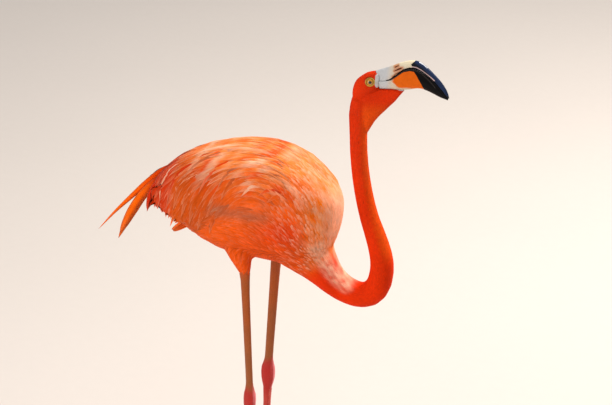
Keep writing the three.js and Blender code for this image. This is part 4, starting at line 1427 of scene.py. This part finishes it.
def paint_bill(colours):
    """Pale base, orange middle and black tip, along edges that follow the bill's own shape."""
    p = Paint("bill_horn")
    here = p.place(HEAD_AT, HEAD_TURN)
    length, _, height = p.split(here)
    grain = p.noise(here, 260, 4)
    blotch = p.noise(here, 90, 3)
    ragged = (blotch - 0.5) * 0.002
    black = (p.attribute("Black") + ragged).step(-0.0005, 0.0005)
    orange = (p.attribute("Orange") + ragged * 2).step(-0.0022, 0.0022)
    upper = p.attribute("Upper")
    cream = p.blend(blotch.step(0.42, 0.70) * 0.5, tuple(colours.bill_pale), srgb(214, 164, 122))
    cream = p.blend((height - 0.026).step(0.0, 0.006) * 0.8, cream, srgb(238, 224, 190))
    base = p.blend(length.step(0.024, 0.038), tuple(colours.lores), cream)
    base = p.blend(orange, base, p.shade(tuple(colours.bill_orange), 0.86 + blotch * 0.28))
    tan = (p.attribute("Mark") + ragged * 1.5).step(-0.0042, 0.0)
    base = p.blend(tan * 0.8, base, srgb(192, 104, 42))
    mark = (p.attribute("Mark") + ragged * 0.5).step(-0.0004, 0.0003)
    base = p.blend(mark, base, srgb(74, 28, 14))
    base = p.shade(base, 0.88 + grain * 0.20)
    # Painted reflection: a blue sheen, as of the sky, painted along the upper bill's black ridge.
    painted_sheen = p.attribute("Sheen").step(-0.0025, 0.0025) * (0.5 + blotch * 0.8)
    tip = p.blend((painted_sheen * upper).least(1), tuple(colours.bill_black), srgb(24, 44, 82))
    colour = p.blend(black, base, tip)
    colour = p.blend(p.attribute("Rim").step(-0.0003, 0.0004), colour, srgb(10, 8, 10))
    # Painted highlight: a pale pinkish line along the upper bill's cutting edge.
    colour = p.blend(p.attribute("Lip").step(-0.0004, 0.0003) * 0.85, colour, srgb(226, 190, 186))
    rough = 0.46 - black * 0.20 + grain * 0.12
    relief = grain * 0.6 + p.noise(p.join(length * 60, height * 420, 0.0), 1.0, 3) * 0.6
    return p.finish(
        colour, rough, p.bump(relief, 0.0003, 0.4),
        Coat_Weight=0.04 + black * upper * 0.5, Coat_Roughness=0.12, Specular_IOR_Level=0.10,
    )  # fmt: skip


def from_path(x, z, path):
    """Each place's distance from a broken line, seen from the side, and how far along it that is."""
    path = np.array(path, dtype=float)
    best, along = np.full(len(x), np.inf), np.zeros(len(x))
    for i in range(len(path) - 1):
        a, run = path[i], path[i + 1] - path[i]
        t = np.clip(((x - a[0]) * run[0] + (z - a[1]) * run[1]) / (run @ run), 0, 1)
        gap = np.hypot(x - a[0] - run[0] * t, z - a[1] - run[1] * t)
        nearer = gap < best
        best[nearer], along[nearer] = gap[nearer], (i + t[nearer]) / (len(path) - 1)
    return best, along


# Lines on the bill seen from the side, in millimetres of the head's own x and z
GAPE = ((26, 3), (33, 5), (44, 15), (54, 24), (65, 28), (76, 27), (86, 22), (99, 11), (112, -4), (126, -24))
NOSTRIL = ((39, 20), (46, 24), (53, 27.5))
CREASES = (((40, 26), (45, 29)), ((42, 16), (48, 19.5), (53, 21.5)), ((37, 10), (41, 15)))
# The lip line is raised a little and carries the painted highlight along the upper bill's edge.
LIP = ((69, 30.5), (76, 29.5), (84, 25.5), (93, 19), (100, 13.5), (106, 8))
GROOVE = ((69, 34), (78, 33.5), (88, 28), (98, 20), (108, 9), (116, -3), (122, -14))
# The ridge line guides the painted blue sheen.
RIDGE = ((76, 39), (88, 32), (99, 22), (109, 10), (117, -2), (125, -17))


def mandible(name, node, voxel=0.0007):
    obj = remesh(copy_of_nodes(name, [node]), voxel)
    relax(obj.data, 6)
    return obj


class FLAMINGO_OT_bill(bpy.types.Operator):
    """Models the bent bill: nostrils, grooves and the colours of its two halves"""

    bl_idname = "flamingo.bill"
    bl_label = "Bill"

    def execute(self, context):
        material = paint_bill(context.scene.flamingo_bare)
        for name, node in (("bill_upper", "upper_bill"), ("bill_lower", "lower_bill")):
            obj = mandible(name, node)
            points, normals = vertex_array(obj.data), normal_array(obj.data)
            q = to_head(points) * 1000
            x, z = q[:, 0], q[:, 2]
            gape, _ = from_path(x, z, GAPE)
            nostril, slit = from_path(x, z, NOSTRIL)
            slit = slit * 2 - 1
            crease = np.min([from_path(x, z, c)[0] for c in CREASES], axis=0)
            lip, _ = from_path(x, z, LIP)
            groove, along = from_path(x, z, GROOVE)
            ridge, _ = from_path(x, z, RIDGE)
            upper = node == "upper_bill"
            carve = 0.5 * np.exp(-((gape / 0.8) ** 2))
            if upper:
                carve += 1.1 * np.exp(-((nostril / 0.8) ** 2)) * (1 - slit**2) + 0.4 * np.exp(-((crease / 0.6) ** 2))
                carve += 0.55 * np.exp(-((groove / 0.9) ** 2)) * np.sin(along * math.pi) - 0.25 * np.exp(-((lip / 0.7) ** 2))
                black = x - np.interp(z, [18, 30, 34, 40], [70, 69, 67, 75])
                orange = np.full(len(q), -9.0)
                mark = np.maximum(1.1 - nostril - slit**2 * 1.1, 0.55 - crease)
                line, painted_sheen = 0.75 - lip, 4.0 - ridge
                rim = np.interp(x, [26, 40, 60, 76], [0.5, 0.7, 1.0, 0.6]) - gape
            else:
                black = x - np.interp(z, [-12, -8, -2, 11, 23, 28], [90, 88.5, 86, 80, 73, 70])
                orange = np.minimum(x - np.interp(z, [-8, 2, 10, 16, 26], [47, 36, 38, 43, 54]), z + 8)
                mark = line = painted_sheen = np.full(len(q), -9.0)
                rim = np.interp(x, [26, 36, 50, 60, 76], [0.5, 1.2, 2.4, 3.6, 4.2]) - gape
            set_vertices(obj.data, points - normals * carve[:, None] * MM)
            fields = {"Black": black, "Orange": orange, "Mark": mark, "Lip": line, "Sheen": painted_sheen, "Rim": rim}
            for label, field in fields.items():
                layer = obj.data.attributes.new(label, "FLOAT", "POINT")
                layer.data.foreach_set("value", (field * MM).astype(np.float32))
            layer = obj.data.attributes.new("Upper", "FLOAT", "POINT")
            layer.data.foreach_set("value", np.full(len(q), float(upper), dtype=np.float32))
            put(obj, material)
            place_in_frame(obj, "bill_pale", node)
        return {"FINISHED"}


class FLAMINGO_OT_eyelids(bpy.types.Operator):
    """Rings each eye with a fleshy lid"""

    bl_idname = "flamingo.eyelids"
    bl_label = "Eyelids"

    def execute(self, context):
        p = Paint("eyelid_skin")
        here = p.place()
        grain = p.cells(here, 1400)
        tint = p.noise(here, 400, 3)
        colour = p.blend(tint.step(0.4, 0.7), tuple(context.scene.flamingo_bare.lid), srgb(170, 120, 40))
        material = p.finish(p.shade(colour, 0.8 + grain * 0.3), 0.5 + tint * 0.1, p.bump(grain, 0.0003, 0.6))
        turns, round_it = 72, 14
        angle = np.arange(turns) * 2 * math.pi / turns
        section = np.arange(round_it) * 2 * math.pi / round_it
        for side, sign in SIDES.items():
            axis, one, two = eye_axes(sign)
            reach = 0.0069 + 0.0002 * np.cos(angle * 2)
            folds = 1 + 0.10 * np.sin(angle * 18)
            tube = 0.0010 * (1 + 0.35 * np.sin(angle - 0.4)) * folds
            outward = np.cos(angle)[:, None] * one + np.sin(angle)[:, None] * two
            radius = reach[:, None] + tube[:, None] * np.cos(section)[None]
            rise = 0.0030 + tube[:, None] * np.sin(section)[None] * 0.9
            points = outward[:, None] * radius[..., None] + axis * rise[..., None]
            centre = np.array(EYE_AT) * [1, sign, 1]
            i, j = np.meshgrid(np.arange(turns), np.arange(round_it), indexing="ij")
            i2, j2 = (i + 1) % turns, (j + 1) % round_it
            quads = np.stack([i * round_it + j, i2 * round_it + j, i2 * round_it + j2, i * round_it + j2], axis=-1)
            mesh = mesh_from(f"eyelid_{side}", from_head(points.reshape(-1, 3) + centre), quads.reshape(-1, 4))
            place_in_frame(put(add_object(f"eyelid_{side}", mesh), material), "eye")
        return {"FINISHED"}


def rows_tree(material):
    """A node tree that sets bent plates along a line of points, square to it and facing outward."""
    tree = bpy.data.node_groups.new("rows_of_plates", "GeometryNodeTree")
    face = tree.interface
    face.new_socket("Geometry", in_out="INPUT", socket_type="NodeSocketGeometry")
    for label, value in (("Pitch", 0.005), ("Width", 0.008), ("Height", 0.005), ("Thickness", 0.0008), ("Bend", 90.0)):
        socket = face.new_socket(label, in_out="INPUT", socket_type="NodeSocketFloat")
        socket.default_value = value
    face.new_socket("Geometry", in_out="OUTPUT", socket_type="NodeSocketGeometry")

    def node(kind, links, **settings):
        new = tree.nodes.new(kind)
        for key, value in settings.items():
            setattr(new, key, value)
        for key, value in links.items():
            if isinstance(value, bpy.types.NodeSocket):
                tree.links.new(value, new.inputs[key])
            else:
                new.inputs[key].default_value = value
        return new

    given = node("NodeGroupInput", {}).outputs
    line = node("GeometryNodeMeshToCurve", {"Mesh": given["Geometry"]}).outputs[0]
    spaced = node("GeometryNodeResampleCurve", {"Curve": line, "Length": given["Pitch"]}, mode="LENGTH").outputs[0]
    size = node("ShaderNodeCombineXYZ", {0: given["Thickness"], 1: given["Width"], 2: given["Height"]}).outputs[0]
    plate = node("GeometryNodeMeshCube", {"Size": size, "Vertices X": 2, "Vertices Y": 7, "Vertices Z": 3}).outputs[0]
    here = node("ShaderNodeSeparateXYZ", {0: node("GeometryNodeInputPosition", {}).outputs[0]}).outputs
    across = node("ShaderNodeMath", {0: here[1], 1: here[1]}, operation="MULTIPLY").outputs[0]
    drop = node("ShaderNodeMath", {0: across, 1: given["Bend"]}, operation="MULTIPLY").outputs[0]
    tall = node("ShaderNodeMath", {0: here[2], 1: here[2]}, operation="MULTIPLY").outputs[0]
    curl = node("ShaderNodeMath", {0: tall, 1: 60.0}, operation="MULTIPLY").outputs[0]
    sunk = node("ShaderNodeMath", {0: drop, 1: curl}, operation="ADD").outputs[0]
    inward = node("ShaderNodeMath", {0: sunk, 1: -1.0}, operation="MULTIPLY").outputs[0]
    offset = node("ShaderNodeCombineXYZ", {0: inward}).outputs[0]
    bent = node("GeometryNodeSetPosition", {"Geometry": plate, "Offset": offset}).outputs[0]
    outward = node("GeometryNodeInputNamedAttribute", {"Name": "Outward"}, data_type="FLOAT_VECTOR").outputs[0]
    scale = node("GeometryNodeInputNamedAttribute", {"Name": "Scale"}, data_type="FLOAT").outputs[0]
    faced = node("FunctionNodeAlignRotationToVector", {"Vector": outward}, axis="X").outputs[0]
    tangent = node("GeometryNodeInputTangent", {}).outputs[0]
    turned = node("FunctionNodeAlignRotationToVector", {"Rotation": faced, "Vector": tangent}, axis="Z", pivot_axis="X").outputs[0]
    many = node("GeometryNodeInstanceOnPoints", {"Points": spaced, "Instance": bent, "Rotation": turned, "Scale": scale}).outputs[0]
    real = node("GeometryNodeRealizeInstances", {"Geometry": many}).outputs[0]
    dressed = node("GeometryNodeSetMaterial", {"Geometry": real, "Material": material}).outputs[0]
    node("NodeGroupOutput", {"Geometry": dressed})
    return tree


def row_of_plates(name, tree, lines, **sizes):
    """Runs the tree along lines of (points, outward ways, scales), and keeps what it makes as a plain mesh."""
    points = np.concatenate([line[0] for line in lines])
    edges, start = [], 0
    for line in lines:
        count = len(line[0])
        edges += [(start + i, start + i + 1) for i in range(count - 1)]
        start += count
    mesh = bpy.data.meshes.new(name)
    mesh.from_pydata(points.tolist(), edges, [])
    outward = np.concatenate([line[1] for line in lines]).astype(np.float32)
    mesh.attributes.new("Outward", "FLOAT_VECTOR", "POINT").data.foreach_set("vector", outward.ravel())
    scale = np.concatenate([line[2] for line in lines]).astype(np.float32)
    mesh.attributes.new("Scale", "FLOAT", "POINT").data.foreach_set("value", scale)
    obj = add_object(name, mesh)
    modifier = obj.modifiers.new("rows", "NODES")
    modifier.node_group = tree
    for item in tree.interface.items_tree:
        if item.in_out == "INPUT" and item.name.lower() in sizes:
            modifier[item.identifier] = sizes[item.name.lower()]
    applied(obj)
    for polygon in obj.data.polygons:
        polygon.use_smooth = True
    return obj


def paint_scutes(colours):
    p = Paint("leg_scutes")
    here = p.place()
    wear = p.noise(here, 60, 4)
    fine = p.noise(here, 700, 3)
    colour = p.blend(wear.step(0.35, 0.7), tuple(colours.leg), srgb(214, 96, 78))
    colour = p.shade(colour, 0.82 + fine * 0.3)
    return p.finish(colour, 0.42 + wear * 0.16, p.bump(fine, 0.0002, 0.5), Specular_IOR_Level=0.35)


class FLAMINGO_OT_scutes(bpy.types.Operator):
    """Lays the overlapping plates on the front of the legs and the tops of the toes"""

    bl_idname = "flamingo.scutes"
    bl_label = "Scutes"

    def execute(self, context):
        colours = context.scene.flamingo_bare
        tree = rows_tree(paint_scutes(colours))
        skin = FORM["skin"].points
        for side, sign in SIDES.items():
            ours = skin[(skin[:, 1] - FRAME_SHIFT[1]) * sign > 0]
            heights = np.linspace(0.285, 0.055, 24)
            places = []
            for z in heights:
                ring = ours[np.abs(ours[:, 2] - z) < 0.003]
                middle = (ring.min(axis=0) + ring.max(axis=0)) / 2
                places.append([ring[:, 0].max(), middle[1], z])
            places = np.array(places)
            spots, outward = FORM["skin"].drop(places + [0.004, 0, 0])
            width = np.ones(len(spots))
            lines = [(spots - outward * 0.0001, outward, width)]
            leg = row_of_plates(f"scutes_leg_{side}", tree, lines, pitch=colours.scute_pitch, width=0.0105, height=0.0062, bend=55.0)
            place_in_frame(leg, "leg")
            lines = []
            for toe in ("inner", "middle", "outer"):
                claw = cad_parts[f"claw_{toe}_{side}"]
                tip = vertex_array(claw.data).mean(axis=0)
                heel = np.array([places[-1][0] + 0.004, places[-1][1], tip[2]])
                path = heel + (tip - heel) * np.linspace(0.30, 0.90, 14)[:, None]
                spots, outward = FORM["skin"].drop(path + [0, 0, 0.012])
                lines.append((spots + outward * 0.0001, outward, np.linspace(1.0, 0.72, 14)))
            toes = row_of_plates(f"scutes_toes_{side}", tree, lines, pitch=0.0036, width=0.0064, height=0.0041, bend=85.0)
            place_in_frame(toes, "leg")
        return {"FINISHED"}


class FLAMINGO_OT_lamellae(bpy.types.Operator):
    """Sets the comb of thin plates along the edges of the lower bill"""

    bl_idname = "flamingo.lamellae"
    bl_label = "Lamellae"

    def execute(self, context):
        p = Paint("lamella_horn")
        grain = p.noise(p.place(), 800, 3)
        tree = rows_tree(p.finish(p.blend(grain, srgb(22, 18, 18), srgb(66, 48, 40)), 0.5 + grain * 0.1))
        surface = Surface(bpy.data.objects["bill_lower"].data)
        path = Line([(x, 0, z) for x, z in GAPE[1:-1]]).points * MM
        lines = []
        for sign in SIDES.values():
            aside = from_head(path + [0, sign * 0.03, -0.0006])
            spots, outward = surface.drop(aside)
            lines.append((spots - outward * 0.0003, outward, np.ones(len(spots))))
        comb = row_of_plates("bill_comb", tree, lines, pitch=0.0011, width=0.0018, height=0.0004, thickness=0.0007, bend=20.0)
        place_in_frame(comb, "bill_dark")
        return {"FINISHED"}


class FLAMINGO_OT_claws(bpy.types.Operator):
    """Makes the eight claws"""

    bl_idname = "flamingo.claws"
    bl_label = "Claws"

    def execute(self, context):
        p = Paint("claw_horn")
        here = p.place()
        grain = p.noise(here, 900, 4)
        wear_and_shade = p.noise(here, 200, 3)
        colour = p.blend(wear_and_shade.step(0.45, 0.75), tuple(context.scene.flamingo_bare.claw), srgb(112, 92, 80))
        material = p.finish(colour, 0.35 + grain * 0.2, p.bump(grain, 0.0003, 0.5), Coat_Weight=0.15)
        for side in SIDES:
            for toe in ("inner", "middle", "outer", "hind"):
                node = f"claw_{toe}_{side}"
                obj = mandible(f"{node}_horn", node, 0.0004)
                place_in_frame(put(obj, material), "claw", node)
        return {"FINISHED"}


class FLAMINGO_PT_panel(bpy.types.Panel):
    """Lists the bird's pieces and their sizes"""

    bl_idname = "FLAMINGO_PT_panel"
    bl_label = "Flamingo"
    bl_space_type = "VIEW_3D"
    bl_region_type = "UI"
    bl_category = "Flamingo"

    def draw(self, context):
        layout = self.layout
        for operator in OPERATORS:
            layout.operator(operator.bl_idname)
        for group in SETTINGS:
            box = layout.box()
            settings = getattr(context.scene, group)
            for prop in settings.bl_rna.properties:
                if not prop.is_readonly and prop.identifier != "name":
                    box.prop(settings, prop.identifier)


SETTINGS = {
    "flamingo_plumage": FLAMINGO_PG_plumage,
    "flamingo_bare": FLAMINGO_PG_bare,
    "flamingo_studio": FLAMINGO_PG_studio,
}
OPERATORS = (
    FLAMINGO_OT_studio,
    FLAMINGO_OT_skin,
    FLAMINGO_OT_bill,
    FLAMINGO_OT_eyes,
    FLAMINGO_OT_eyelids,
    FLAMINGO_OT_lamellae,
    FLAMINGO_OT_scutes,
    FLAMINGO_OT_claws,
    FLAMINGO_OT_head_feathers,
    FLAMINGO_OT_neck_feathers,
    FLAMINGO_OT_body_feathers,
    FLAMINGO_OT_wing_feathers,
    FLAMINGO_OT_plumes,
)


def register():
    for cls in (*SETTINGS.values(), *OPERATORS, FLAMINGO_PT_panel):
        bpy.utils.register_class(cls)
    for name, group in SETTINGS.items():
        setattr(bpy.types.Scene, name, PointerProperty(type=group))


def unregister():
    for name in SETTINGS:
        delattr(bpy.types.Scene, name)
    for cls in reversed((*SETTINGS.values(), *OPERATORS, FLAMINGO_PT_panel)):
        bpy.utils.unregister_class(cls)


def main():
    register()
    for operator in OPERATORS:
        group, name = operator.bl_idname.split(".")
        getattr(getattr(bpy.ops, group), name)()


if __name__ == "__main__":
    main()
